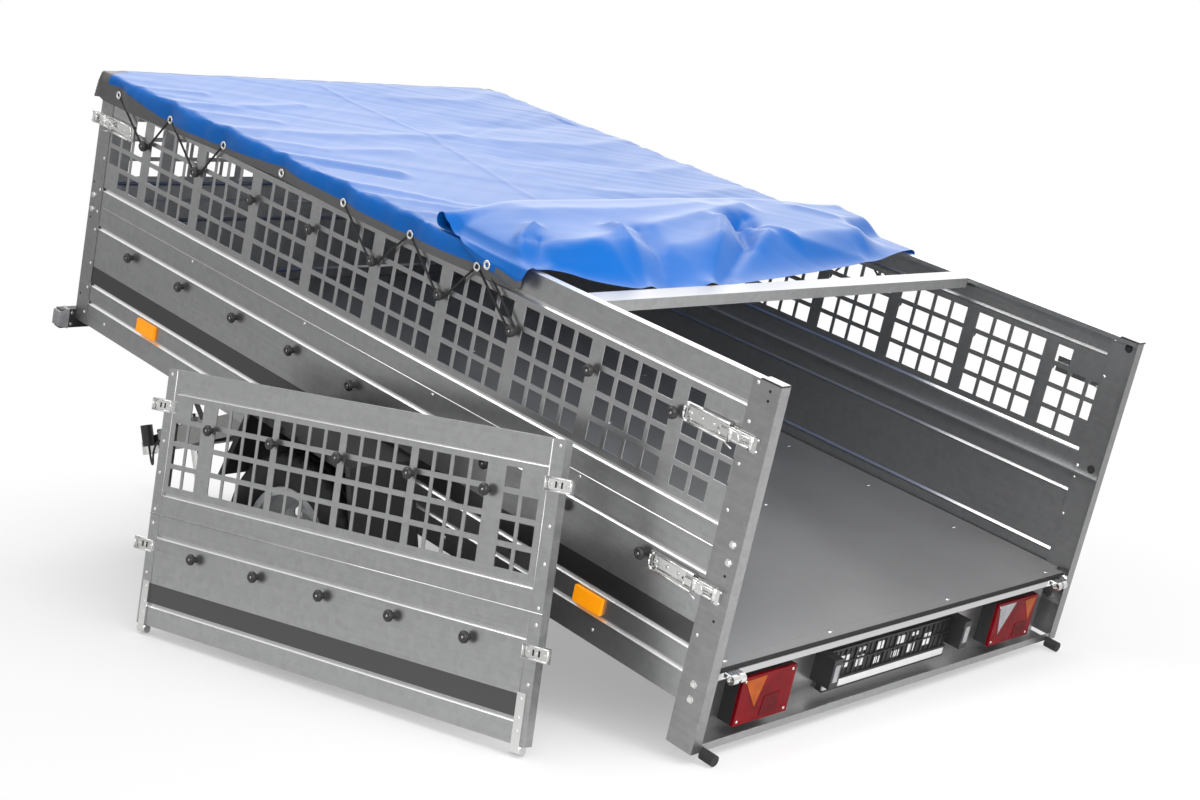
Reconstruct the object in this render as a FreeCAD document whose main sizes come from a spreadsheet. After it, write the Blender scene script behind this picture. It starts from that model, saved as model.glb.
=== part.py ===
import FreeCAD, Part
import math
import os
import re
import Sketcher

# Box trailer with mesh sides, tipped on its rear buffers, tailgate lifted off and stood beside it.
# The row frame has its origin at the centre of the tow ball, +X to the rear, +Y to the trailer's
# right and +Z up. The bed frame has its origin at the axle's centre, the drawbar frame at its
# hinge, the gate frame at the middle of the gate's lower edge on its outer face.

SIZES = {
    # How the trailer stands
    "tyre_radius": 273.5, "bed_tip": 13.53, "drawbar_dip": 13.5,
    "hinge_ahead": 635, "hinge_up": 120, "coupling_reach": 1558.5, "ball_drop": 24.7,
    # Bed
    "bed_length": 2681, "bed_width": 1554, "axle_back": 1400.8, "floor_up": 257.5,
    "skin": 2, "floor_thick": 12, "rail_drop": 96, "seam_up": 279, "wall_top": 680,
    "wall_flange": 26, "wall_lip": 12, "rail_flange": 30, "seat_gap": 0.3, "overrun": 1,
    "bead_depth": 6, "bead_half": 6,
    "bead_sill": 24, "bead_low": 34.7, "bead_mid": 216, "bead_mesh": 336, "bead_top": 616,
    # Mesh
    "bay_ends": 500, "bay_pitch": 270, "hole_wide": 48.5, "hole_high": 48.1, "hole_step": 60,
    "row_step": 61.8, "row_low": 360, "hole_columns": 4, "hole_rows": 4,
    # Posts and sill
    "post_wide": 76, "post_flange": 30, "post_foot": 202, "front_post_wide": 60,
    "sill_top": 22, "sill_depth": 60, "sill_flange": 78, "sill_lip": 20, "sill_round": 9,
    "sill_tread": 45,
    # Floor frame
    "cross_high": 40, "cross_wide": 40, "cross_count": 5, "member_wide": 76, "member_in": 554,
    "frame_wall": 3,
    # Rear lamps and number plate
    "lamp_wide": 196, "lamp_high": 124, "lamp_deep": 48, "lens_deep": 9, "lamp_in": 486,
    "lamp_low": 170, "plate_wide": 526, "plate_high": 112, "plate_deep": 14, "plate_low": 173,
    "plate_lamp_wide": 34, "plate_lamp_high": 78, "plate_lamp_deep": 60,
    # Buffers and gate sockets
    "buffer_radius": 14, "buffer_long": 38, "buffer_in": 80, "buffer_drop": 206.5,
    "socket_radius": 12, "socket_bore": 8.5, "socket_wide": 18, "socket_gap": 8,
    "socket_leaf": 3.5,
    # Mudguards
    "guard_top": 340, "guard_top_half": 216, "guard_low": 109, "guard_low_half": 302,
    "guard_wide": 207, "guard_wall": 3, "guard_rim": 18,
    # Latches, knobs, reflectors, marker lamps
    "latch_long": 214, "latch_high": 44, "latch_deep": 11, "latch_up": 540,
    "latch_low_up": 181, "latch_back": 18, "latch_ahead": -27, "latch_wall": 2.5,
    "wire_radius": 2.5, "knob_radius": 15, "knob_neck": 8, "knob_deep": 22, "knob_head": 8,
    "knob_up": 525, "knob_low_up": 183, "reflector_long": 91, "reflector_high": 40,
    "reflector_deep": 9, "reflector_front": 341, "reflector_rear": 2246, "reflector_low": 17,
    "marker_wide": 120, "marker_high": 60, "marker_deep": 30, "marker_edge": 69, "marker_low": 128,
    # Crossbar and tarp
    "crossbar_back": 591, "crossbar_wide": 60, "crossbar_high": 28, "crossbar_wall": 2,
    "tarp_thick": 4, "tarp_back": 696, "tarp_hem": 74, "fold_front": 1500, "fold_high": 66,
    "eyelet_up": 636, "cord_radius": 3, "front_eyelet": 127,
    # Wheels and axle
    "track_over": 230, "tyre_wide": 155, "tread_wide": 118, "rim_radius": 182.5,
    "rim_wide": 127, "bead_radius": 166, "well_radius": 140, "rim_wall": 4, "disc_in": 48,
    "hub_radius": 62, "hub_long": 70, "cap_radius": 32, "cap_long": 26, "stub_radius": 20,
    "vent_radius": 16, "vent_ring": 112, "vent_count": 8, "running_gap": 0.1,
    "beam_side": 60, "beam_ahead": 110, "beam_up": 105, "beam_short": 404,
    "arm_thick": 24, "arm_wide": 54,
    # Drawbar
    "arm_high": 70, "tube_wide": 40, "tube_wall": 3, "nose_spread": 76,
    "nose_back": 150, "eye_radius": 22, "eye_wide": 60, "pin_radius": 10, "ear_thick": 6,
    "ear_long": 50, "plate_thick": 5, "plate_long": 230, "plate_front": 120,
    "ball_radius": 25, "cup_wall": 6, "neck_long": 190, "neck_high": 54,
    "handle_long": 62, "handle_wide": 30, "handle_thick": 8, "handle_up": 40,
    "lever_back": 62, "lever_thick": 14, "lever_lean": 34, "lever_high": 76,
    # Prop stand
    "stand_back": 296.5, "stand_radius": 21, "stand_top": 78, "foot_wide": 80, "foot_thick": 5,
    "sleeve_wall": 5, "sleeve_below": 12, "sleeve_above": 30,
    # Plug and cables
    "plug_radius": 22, "plug_long": 78, "cable_radius": 4, "cable_back": 90, "cable_out": 24,
    # Tailgate
    "gate_short": 114, "gate_high": 697, "gate_thick": 25, "gate_x": 262, "gate_beside": 85.6,
    "gate_z": 27.5, "gate_yaw": 3.405, "gate_lean": 8.83, "gate_seam": 302, "gate_post": 38,
    "gate_row_low": 383, "gate_ends": 400, "gate_bay_pitch": 253, "gate_rib": 59,
    "gate_bead_low": 56, "gate_bead_mid": 243, "gate_bead_mesh": 359, "gate_bead_top": 637,
    "keeper_long": 82, "keeper_high": 34, "keeper_deep": 5, "keeper_out": 42,
    "keeper_up": 596, "keeper_low_up": 215, "strap_high": 120, "strap_wide": 26,
    "hook_radius": 11, "hook_wide": 34, "gate_knob_up": 554, "gate_knob_low_up": 209,
}

# Lengths and counts that follow from the sizes above
FOLLOWING = {
    "wheel_track": "bed_width + track_over", "beam_long": "wheel_track - beam_short",
    "guard_out": "bed_width / 2 + guard_wide", "gate_y": "guard_out + gate_beside",
    "member_apart": "bed_width - member_in", "arm_spread": "member_apart",
    "buffer_apart": "bed_width - buffer_in", "lamp_apart": "bed_width - lamp_in",
    "marker_in": "bed_width / 2 - marker_edge", "gate_long": "bed_width - gate_short",
    "stand_reach": "coupling_reach - stand_back", "crossbar_at": "bed_length - crossbar_back",
    "tarp_end": "bed_length - tarp_back",
    "bays": "floor((bed_length - bay_ends) / bay_pitch)",
    "gate_bays": "floor((gate_long - gate_ends) / gate_bay_pitch)",
}

doc = FreeCAD.newDocument("BoxTrailer")
sheet = doc.addObject("Spreadsheet::Sheet", "Sizes")
values = [(name, str(value)) for name, value in SIZES.items()]
values += [(name, "=" + text) for name, text in FOLLOWING.items()]
for row, (name, value) in enumerate(values, 1):
    sheet.set(f"A{row}", name)
    sheet.set(f"B{row}", value)
    sheet.setAlias(f"B{row}", name)
doc.recompute()

NODES = {}


def tied(text):
    """Write an expression on the sheet's cells: each size's name gets the sheet's name."""
    def cell(match):
        name = match.group()
        return "Sizes." + name if name in SIZES or name in FOLLOWING else name
    return re.sub(r"[a-z][a-z_0-9]*", cell, text)


def size(text):
    """The value of such an expression now, as a number."""
    return float(sheet.evalExpression(text))


def count(name):
    return int(round(size(name)))


def bind(thing, **properties):
    """Tie properties of an object to the sheet."""
    for key, text in properties.items():
        thing.setExpression(key.replace("__", "."), tied(text))
    return thing


def vector(at):
    return "vector(" + "; ".join(at) + ")"


# Places of the four frames in the row frame
DIP = "(drawbar_dip * 1 deg)"
TIP = "(bed_tip * 1 deg)"
HINGE_X = f"(coupling_reach * cos{DIP} - ball_drop * sin{DIP})"
HINGE_Z = f"(coupling_reach * sin{DIP} + ball_drop * cos{DIP})"
AXLE_X = f"({HINGE_X} + hinge_ahead * cos{TIP} - hinge_up * sin{TIP})"
AXLE_Z = f"({HINGE_Z} - hinge_ahead * sin{TIP} - hinge_up * cos{TIP})"
GROUND = f"({AXLE_Z} - tyre_radius)"
FRAMES = {
    "bed": f"placement({vector((AXLE_X, '0', AXLE_Z))}; rotation(vector(0; 1; 0); bed_tip))",
    "axle": f"placement({vector((AXLE_X, '0', AXLE_Z))}; rotation(0; 0; 0))",
    "drawbar": f"placement({vector((HINGE_X, '0', HINGE_Z))};"
               " rotation(vector(0; 1; 0); 0 - drawbar_dip))",
    "gate": f"placement({vector((AXLE_X + ' + gate_x', '0 - gate_y', GROUND + ' + gate_z'))};"
            " rotation(gate_yaw; 0; 0 - gate_lean))",
    "row": "placement(vector(0; 0; 0); rotation(0; 0; 0))",
}


def seat(thing, label, frame, at=("0", "0", "0")):
    """Give a sub-part its label and its place, as an offset in one of the frames."""
    thing.Label = label
    bind(thing, Placement=f"{FRAMES[frame]} * placement({vector(at)}; rotation(0; 0; 0))")
    NODES[label] = thing
    return thing


def block(name, long, wide, high, at):
    """A rectangular block from its lowest corner."""
    box = bind(doc.addObject("Part::Box", name), Length=long, Width=wide, Height=high)
    return bind(box, Placement__Base__x=at[0], Placement__Base__y=at[1], Placement__Base__z=at[2])


TURNS = {"X": "rotation(vector(0; 1; 0); 90)", "Y": "rotation(vector(1; 0; 0); -90)",
         "Z": "rotation(0; 0; 0)"}


def rod(name, radius, long, at, axis):
    """A round bar from the middle of its first face, along one axis."""
    bar = bind(doc.addObject("Part::Cylinder", name), Radius=radius, Height=long)
    return bind(bar, Placement=f"placement({vector(at)}; {TURNS[axis]})")


PLANES = {"XY": "rotation(0; 0; 0)", "YZ": "rotation(vector(1; 1; 1); 120)",
          "XZ": "rotation(vector(1; 0; 0); 90)"}


def outlines(sketch, *loops):
    """Draw closed outlines whose corners are expressions on the sheet's cells."""
    for points in loops:
        first = sketch.GeometryCount
        places = [FreeCAD.Vector(size(a), size(b), 0) for a, b in points]
        corners = len(points)
        lines = [Part.LineSegment(places[i], places[(i + 1) % corners]) for i in range(corners)]
        sketch.addGeometry(lines, False)
        sketch.addConstraint([Sketcher.Constraint("Coincident", first + i, 2,
                                                  first + (i + 1) % corners, 1)
                              for i in range(corners)])
        for i, (corner, place) in enumerate(zip(points, places)):
            for kind, text, value in (("DistanceX", corner[0], place.x),
                                      ("DistanceY", corner[1], place.y)):
                rule = sketch.addConstraint(Sketcher.Constraint(kind, -1, 1, first + i, 1, value))
                sketch.setExpression(f"Constraints[{rule}]", tied(text))
    return sketch


def run(name, plane, at, long, *loops):
    """A bar of one section: outlines on a plane through a point, carried along its normal."""
    sketch = doc.addObject("Sketcher::SketchObject", name + "_outline")
    bind(sketch, Placement=f"placement({vector(at)}; {PLANES[plane]})")
    outlines(sketch, *loops)
    bar = doc.addObject("Part::Extrusion", name)
    bar.Base = sketch
    bar.DirMode = "Normal"
    bar.Solid = True
    return bind(bar, LengthFwd=long)


def turned(name, loop):
    """A turned piece: an outline of (along Y, radius) points spun about Y."""
    sketch = doc.addObject("Sketcher::SketchObject", name + "_outline")
    bind(sketch, Placement=f"placement(vector(0; 0; 0); {PLANES['YZ']})")
    outlines(sketch, loop)
    piece = doc.addObject("Part::Revolution", name)
    piece.Source = sketch
    piece.Axis = FreeCAD.Vector(0, 1, 0)
    piece.Angle = 360
    piece.Solid = True
    return piece


def cut(name, base, *tools):
    """Take tools away from a base."""
    for number, tool in enumerate(tools):
        part = doc.addObject("Part::Cut", f"{name}_{number}")
        part.Base = base
        part.Tool = tool
        base = part
    return base


def fused(name, *pieces):
    whole = doc.addObject("Part::MultiFuse", name)
    whole.Shapes = list(pieces)
    return whole


def together(name, *pieces):
    """Like pieces that share a node and don't touch."""
    whole = doc.addObject("Part::Compound", name)
    whole.Links = list(pieces)
    return whole


def mirrored(side, text):
    """A Y place on the left (-1) or right (1) of the trailer."""
    return f"({text}) * {side}"


def box_loop(x_low, z_low, x_high, z_high):
    return [(x_low, z_low), (x_high, z_low), (x_high, z_high), (x_low, z_high)]


FRONT = "(0 - axle_back)"
REAR = "(bed_length - axle_back)"
HALF = "(bed_width / 2)"
MIDDLE = "(bed_length / 2 - axle_back)"


def above_floor(text):
    return f"(floor_up + {text})"


def panel_loop(face, inward, low, high, beads, low_flange, high_flange, lip):
    """Section of a folded panel: (across, up) points of a skin with beads and two flanges.

    face is the outer face, inward the sign of the way in, beads the heights of the grooves."""
    def out(depth):
        return f"{face} + ({depth}) * {inward}"

    outer = [(out("0"), low)]
    inner = []
    for bead in beads:
        outer += [(out("0"), f"{bead} - bead_half"), (out("bead_depth"), bead),
                  (out("0"), f"{bead} + bead_half")]
        inner += [(out("skin"), f"{bead} - bead_half"), (out("skin + bead_depth"), bead),
                  (out("skin"), f"{bead} + bead_half")]
    outer.append((out("0"), high))
    top = [(out(high_flange), high)]
    if lip:
        top += [(out(high_flange), f"{high} - {lip}"),
                (out(f"{high_flange} - skin"), f"{high} - {lip}"),
                (out(f"{high_flange} - skin"), f"{high} - skin")]
    else:
        top.append((out(high_flange), f"{high} - skin"))
    top.append((out("skin"), f"{high} - skin"))
    bottom = [(out("skin"), f"{low} + skin"), (out(low_flange), f"{low} + skin"),
              (out(low_flange), low)]
    return outer + top + inner[::-1] + bottom


def side_wall(name, side):
    """Lower side wall: a folded sheet with three beads, its foot turned in as the long rail."""
    loop = panel_loop(mirrored(side, HALF), -side, above_floor("0 - rail_drop"),
                      above_floor("seam_up"),
                      [above_floor("0 - bead_sill"), above_floor("bead_low"),
                       above_floor("bead_mid")], "rail_flange", "wall_flange", None)
    seat(run(name + "_run", "YZ", (FRONT, "0", "0"), "bed_length", loop), name, "bed")


def origin_plane(body, role):
    return next(plane for plane in body.Origin.OriginFeatures if plane.Role == role)


def body_outline(body, name, role, *loops):
    sketch = body.newObject("Sketcher::SketchObject", name)
    sketch.AttachmentSupport = (origin_plane(body, role), "")
    sketch.MapMode = "FlatFace"
    return outlines(sketch, *loops)


def grid(body, pocket, steps):
    """Repeat a pocket along the body's axes: each step is (axis, offset, times)."""
    pattern = body.newObject("PartDesign::MultiTransform", "Grid")
    pattern.Originals = [pocket]
    lines = []
    for axis, offset, times in steps:
        line = body.newObject("PartDesign::LinearPattern", "Step")
        line.Direction = (origin_plane(body, axis), [""])
        line.Mode = 1
        bind(line, Offset=offset, Occurrences=times)
        lines.append(line)
    pattern.Transformations = lines
    body.Tip = pattern
    return pattern


def through(body, sketch):
    pocket = body.newObject("PartDesign::Pocket", "Opening")
    pocket.Profile = sketch
    pocket.Type = 1
    pocket.Midplane = True
    body.Tip = pocket
    return pocket


def mesh_panel(name, face, long, low, high, beads, row_low, bays, pitch, end_columns, flange):
    """Upper panel along X, middle at the origin: a folded sheet with a grid of square holes.

    The full bays are one pattern. Each end bay has the columns listed from the rib outwards,
    each with its first and last row, counted from below."""
    body = doc.addObject("PartDesign::Body", name + "_body")
    section = body_outline(body, "Section", "YZ_Plane",
                           panel_loop("0", face, low, high, beads, flange, flange, "wall_lip"))
    pad = body.newObject("PartDesign::Pad", "Sheet")
    pad.Profile = section
    pad.Midplane = True
    bind(pad, Length=long)
    body.Tip = pad
    doc.recompute()
    bay = "((hole_columns - 1) * hole_step + hole_wide)"
    first = f"0 - ({bays} - 1) / 2 * {pitch} - {bay} / 2"
    hole = body_outline(body, "Hole", "XZ_Plane",
                        box_loop(first, row_low, f"{first} + hole_wide",
                                 f"{row_low} + hole_high"))
    pocket = through(body, hole)
    doc.recompute()
    grid(body, pocket, [("X_Axis", "hole_step", "hole_columns"),
                        ("Z_Axis", "row_step", "hole_rows"), ("X_Axis", pitch, bays)])
    doc.recompute()
    rib, columns = end_columns
    edge = f"(({bays} - 1) / 2 * {pitch} + {bay} / 2 + {rib})"
    loops = []
    for number, (low_row, high_row) in enumerate(columns):
        near = f"({edge} + {number} * hole_step)"
        for step in range(low_row, high_row + 1):
            up = f"({row_low} + {step} * row_step)"
            loops.append(box_loop(near, up, f"{near} + hole_wide", f"{up} + hole_high"))
            loops.append(box_loop(f"0 - {near} - hole_wide", up, f"0 - {near}",
                                  f"{up} + hole_high"))
    through(body, body_outline(body, "EndHoles", "XZ_Plane", *loops))
    return body


SIDE_ENDS = ("bay_pitch - (hole_columns - 1) * hole_step - hole_wide",
             [(0, 3), (0, 2), (1, 2)])
GATE_ENDS = ("gate_rib", [(0, 3), (0, 2)])


def mesh_side(name, side):
    """Upper side wall with eight full bays, standing on the lower wall's flange."""
    beads = [above_floor("bead_mesh"), above_floor("bead_top")]
    body = mesh_panel(name, -side, "bed_length", above_floor("seam_up"), above_floor("wall_top"),
                      beads, above_floor("row_low"), "bays", "bay_pitch", SIDE_ENDS,
                      "wall_flange")
    seat(body, name, "bed", (MIDDLE, mirrored(side, HALF), "0"))


def front_wall():
    """Lower front wall between the side walls."""
    inner = "(bed_width - 2 * rail_flange - 2 * seat_gap)"
    loop = panel_loop(FRONT, 1, above_floor("0 - rail_drop"), above_floor("seam_up"),
                      [above_floor("bead_low"), above_floor("bead_mid")],
                      "rail_flange", "wall_flange", None)
    bar = run("front_wall_run", "XZ", ("0", f"{inner} / 2", "0"), inner, loop)
    seat(bar, "front_wall", "bed")


def mesh_front():
    """Upper front wall, set between the side walls' flanges."""
    long = "(bed_width - 2 * wall_flange - 2 * seat_gap)"
    beads = [above_floor("bead_mesh"), above_floor("bead_top")]
    body = mesh_panel("mesh_front", 1, long, above_floor("seam_up"), above_floor("wall_top"),
                      beads, above_floor("row_low"), "gate_bays", "gate_bay_pitch", GATE_ENDS,
                      "wall_flange")
    body.Label = "mesh_front"
    turn = "placement(vector(0; 0; 0); rotation(-90; 0; 0))"
    bind(body, Placement=f"{FRAMES['bed']} * placement({vector((FRONT, '0', '0'))};"
                         f" rotation(0; 0; 0)) * {turn}")
    NODES["mesh_front"] = body


def front_posts():
    """Angle posts that wrap the two front corners."""
    posts = []
    for side in (-1, 1):
        face = mirrored(side, HALF)
        out = mirrored(side, f"{HALF} + skin")
        inside = mirrored(side, f"{HALF} - front_post_wide")
        loop = [(f"{FRONT} - skin", inside), (f"{FRONT} - skin", out),
                (f"{FRONT} + front_post_wide", out), (f"{FRONT} + front_post_wide", face),
                (FRONT, face), (FRONT, inside)]
        posts.append(run(f"front_post_{side + 1}", "XY", ("0", "0", above_floor("0 - rail_drop")),
                         "rail_drop + wall_top", loop))
    seat(together("front_posts_pair", *posts), "front_posts", "bed")


def rear_post(name, side):
    """Angle post over the rear end of a side wall, from the top rail down to the buffers."""
    face = mirrored(side, HALF)
    out = mirrored(side, f"{HALF} + skin")
    inside = mirrored(side, f"{HALF} - post_flange")
    loop = [(f"{REAR} - post_wide", out), (f"{REAR} + skin", out), (f"{REAR} + skin", inside),
            (REAR, inside), (REAR, face), (f"{REAR} - post_wide", face)]
    post = run(name + "_run", "XY", ("0", "0", above_floor("0 - post_foot")),
               "post_foot + wall_top", loop)
    seat(post, name, "bed")


SILL_HALF = "(bed_width / 2 - post_flange - seat_gap)"


def rear_sill():
    """Rear sill: a channel open to the rear, with a rounded top edge and a turned-up lower lip."""
    top = above_floor("0 - sill_top")
    low = above_floor("0 - post_foot")
    web = f"({REAR} - sill_depth)"
    front = f"({REAR} - sill_flange)"
    tread = above_floor("0 - floor_thick")
    loop = [(front, f"{tread} - skin"), (front, tread), (f"{REAR} - sill_round", tread),
            (REAR, f"{tread} - sill_round"), (REAR, top), (f"{REAR} - skin", top),
            (f"{REAR} - skin", f"{tread} - sill_round"), (f"{REAR} - sill_round", f"{tread} - skin"),
            (f"{web} + skin", f"{tread} - skin"), (f"{web} + skin", f"{low} + skin"),
            (f"{REAR} - skin", f"{low} + skin"), (f"{REAR} - skin", f"{low} + sill_lip"),
            (REAR, f"{low} + sill_lip"), (REAR, low), (web, low), (web, f"{tread} - skin")]
    bar = run("sill_run", "XZ", ("0", SILL_HALF, "0"), f"2 * {SILL_HALF}", loop)
    seat(bar, "rear_sill", "bed")


def floor_board():
    """Plywood floor."""
    edge = "(skin + bead_depth + 2 * seat_gap)"
    half = f"({HALF} - {edge})"
    board = block("board", f"bed_length - {edge} - sill_tread", f"2 * {half}", "floor_thick",
                  (f"{FRONT} + {edge}", f"0 - {half}", above_floor("0 - floor_thick")))
    seat(together("board_whole", board), "floor_board", "bed")


def channel_loop(across, up, wide, high):
    """Section of a channel open to +across, from its low outer corner."""
    right, top = f"({across} + {wide})", f"({up} + {high})"
    return [(across, up), (right, up), (right, f"{up} + frame_wall"),
            (f"{across} + frame_wall", f"{up} + frame_wall"),
            (f"{across} + frame_wall", f"{top} - frame_wall"), (right, f"{top} - frame_wall"),
            (right, top), (across, top)]


CROSS_LOW = above_floor("0 - floor_thick - cross_high")


def cross_members():
    """Channels under the floor from wall to wall."""
    room = "(bed_length - sill_flange - 2 * rail_flange - cross_wide)"
    pieces = []
    for number in range(count("cross_count")):
        at = f"({FRONT} + rail_flange + skin + {number} / (cross_count - 1) * {room})"
        half = f"({HALF} - skin - bead_depth - seat_gap)"
        pieces.append(run(f"cross_{number}", "XZ", ("0", half, "0"), f"2 * {half}",
                          channel_loop(at, CROSS_LOW, "cross_wide", "cross_high")))
    seat(together("cross_set", *pieces), "cross_members", "bed")


MEMBER_LOW = above_floor("0 - rail_drop")


def chassis_members():
    """Two long channels under the cross members, which carry the axle and the drawbar's hinge."""
    pieces = []
    for side in (-1, 1):
        low = f"({mirrored(side, 'member_apart / 2')} - member_wide / 2)"
        pieces.append(run(f"member_{side + 1}", "YZ", (f"{FRONT} + rail_flange + skin", "0", "0"),
                          "bed_length - sill_flange - 2 * rail_flange",
                          channel_loop(low, MEMBER_LOW, "member_wide",
                                       "rail_drop - floor_thick - cross_high")))
    seat(together("member_pair", *pieces), "chassis_members", "bed")


def tip_lugs():
    """Ears and pins under the long channels, on which the drawbar turns."""
    pieces = []
    foot = "(0 - hinge_up + floor_up - rail_drop)"
    for side in (-1, 1):
        middle = mirrored(side, "arm_spread / 2")
        reach = "(eye_wide / 2 + seat_gap)"
        ears = []
        for ear, low in enumerate((f"{middle} - {reach} - ear_thick", f"{middle} + {reach}")):
            plate = block(f"ear_{side + 1}_{ear}", "ear_long", "ear_thick",
                          f"{foot} + eye_radius",
                          ("0 - hinge_ahead - ear_long / 2", low, "hinge_up - eye_radius"))
            ears.append(plate)
        pin = rod(f"hinge_pin_{side + 1}", "pin_radius", f"2 * ({reach} + ear_thick)",
                  ("0 - hinge_ahead", f"{middle} - {reach} - ear_thick", "hinge_up"), "Y")
        pieces.append(fused(f"lug_{side + 1}", *ears, pin))
    seat(together("lug_pair", *pieces), "tip_lugs", "bed")


def axle_beam():
    """Rubber-sprung axle: a square beam, trailing arms, stubs and the pads that bolt it up."""
    half = "(beam_long / 2)"
    beam = block("beam", "beam_side", "beam_long", "beam_side",
                 ("0 - beam_ahead - beam_side / 2", f"0 - {half}", "beam_up - beam_side / 2"))
    pieces = [beam]
    for side in (-1, 1):
        low = mirrored(side, f"{half} + arm_thick / 2") + " - arm_thick / 2"
        swing = "(arm_wide / 2)"
        loop = [(f"0 - beam_ahead - {swing}", f"beam_up + {swing}"),
                (f"0 - beam_ahead - {swing}", f"beam_up - {swing}"),
                (f"0 - {swing}", f"0 - {swing}"), (swing, f"0 - {swing}"), (swing, swing),
                (f"0 - beam_ahead + {swing}", f"beam_up + {swing}")]
        pieces.append(run(f"swing_{side + 1}", "XZ", ("0", f"{low} + arm_thick", "0"),
                          "arm_thick", loop))
        inner = "(wheel_track / 2 - rim_wide / 2 + disc_in)"
        stub = f"({inner} - {half})"
        start = half if side > 0 else f"0 - {half} - {stub}"
        pieces.append(rod(f"stub_{side + 1}", "stub_radius", stub, ("0", start, "0"), "Y"))
        pad = block(f"pad_{side + 1}", "2 * beam_side", "member_wide",
                    "floor_up - rail_drop - beam_up - beam_side / 2",
                    ("0 - beam_ahead - beam_side", f"{mirrored(side, 'member_apart / 2')}"
                     " - member_wide / 2", "beam_up + beam_side / 2"))
        pieces.append(pad)
    seat(fused("axle_whole", *pieces), "axle_beam", "bed")


def lamp_x():
    return f"({REAR} - sill_depth + skin)"


def rear_lamps():
    """Lamp housings on the sill's web, and the lenses that close them."""
    housings, lenses = [], []
    low = above_floor("0 - lamp_low")
    for side in (-1, 1):
        near = mirrored(side, "lamp_apart / 2") + " - lamp_wide / 2"
        housings.append(block(f"housing_{side + 1}", "lamp_deep - lens_deep", "lamp_wide",
                              "lamp_high", (lamp_x(), near, low)))
        lenses.append(block(f"lens_{side + 1}", "lens_deep", "lamp_wide", "lamp_high",
                            (f"{lamp_x()} + lamp_deep - lens_deep", near, low)))
    seat(together("housing_pair", *housings), "rear_lamps", "bed")
    seat(together("lens_pair", *lenses), "lamp_lenses", "bed")


def plate_holder():
    """Number plate holder on the sill's web, with a lamp at each end."""
    low = above_floor("0 - plate_low")
    pieces = [block("plate", "plate_deep", "plate_wide", "plate_high",
                    (lamp_x(), "0 - plate_wide / 2", low))]
    for side in (-1, 1):
        near = (mirrored(side, "plate_wide / 2 + seat_gap + plate_lamp_wide / 2")
                + " - plate_lamp_wide / 2")
        pieces.append(block(f"plate_lamp_{side + 1}", "plate_lamp_deep", "plate_lamp_wide",
                            "plate_lamp_high",
                            (lamp_x(), near, f"{low} + plate_high - plate_lamp_high")))
    seat(together("plate_set", *pieces), "plate_holder", "bed")


def buffers():
    """Round rubber buffers at the feet of the rear posts, on which the tipped bed rests."""
    pieces = [rod(f"buffer_{side + 1}", "buffer_radius", "buffer_long",
                  (f"{REAR} + skin", mirrored(side, "buffer_apart / 2"),
                   above_floor("0 - buffer_drop")), "X") for side in (-1, 1)]
    seat(together("buffer_pair", *pieces), "buffers", "bed")


def gate_sockets():
    """Sockets for the gate's hooks: a plate on each end of the sill, rolled into two loops."""
    pieces = []
    step = "(socket_wide + socket_gap)"
    tread = above_floor("0 - floor_thick")
    for side in (-1, 1):
        middle = mirrored(side, "gate_long / 2 - strap_wide")
        near = f"({middle} - {step} / 2)"
        at_x = f"({REAR} + socket_radius + seat_gap)"
        at_z = f"({tread} + socket_leaf - socket_radius)"
        loops = []
        for number in range(2):
            start = f"({near} + {number} * {step} - socket_wide / 2)"
            loops.append(rod(f"loop_{side + 1}_{number}", "socket_radius", "socket_wide",
                             (at_x, start, at_z), "Y"))
        leaf = block(f"leaf_{side + 1}", "sill_tread - seat_gap + socket_radius",
                     f"{step} + socket_wide", "socket_leaf",
                     (f"{REAR} - sill_tread + 2 * seat_gap", f"{near} - socket_wide / 2", tread))
        bore = rod(f"bore_{side + 1}", "socket_bore", f"{step} + socket_wide + 2 * overrun",
                   (at_x, f"{near} - socket_wide / 2 - overrun", at_z), "Y")
        solid = fused(f"socket_{side + 1}", *loops, leaf)
        pieces.append(cut(f"socket_cut_{side + 1}", solid, bore))
    seat(together("socket_pair", *pieces), "gate_sockets", "bed")


def mudguard(name, side):
    """Black arch with a flat top and slanted ends, and a turned-in rim along its outer edge."""
    outer = [("0 - guard_low_half", "guard_low"), ("0 - guard_top_half", "guard_top"),
             ("guard_top_half", "guard_top"), ("guard_low_half", "guard_low")]

    def inset(wall):
        return [(f"guard_low_half - {wall}", "guard_low"),
                (f"guard_top_half - {wall} * 0.7", f"guard_top - {wall}"),
                (f"0 - guard_top_half + {wall} * 0.7", f"guard_top - {wall}"),
                (f"{wall} - guard_low_half", "guard_low")]

    deep = f"(guard_out - {HALF})"
    near = "(guard_out)" if side > 0 else f"(0 - {HALF})"
    shell = run(name + "_shell", "XZ", ("0", near, "0"), deep, outer + inset("guard_wall"))
    edge = "(guard_out)" if side > 0 else "(guard_wall - guard_out)"
    rim = run(name + "_rim", "XZ", ("0", edge, "0"), "guard_wall", outer + inset("guard_rim"))
    seat(fused(name + "_whole", shell, rim), name, "bed")


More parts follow.
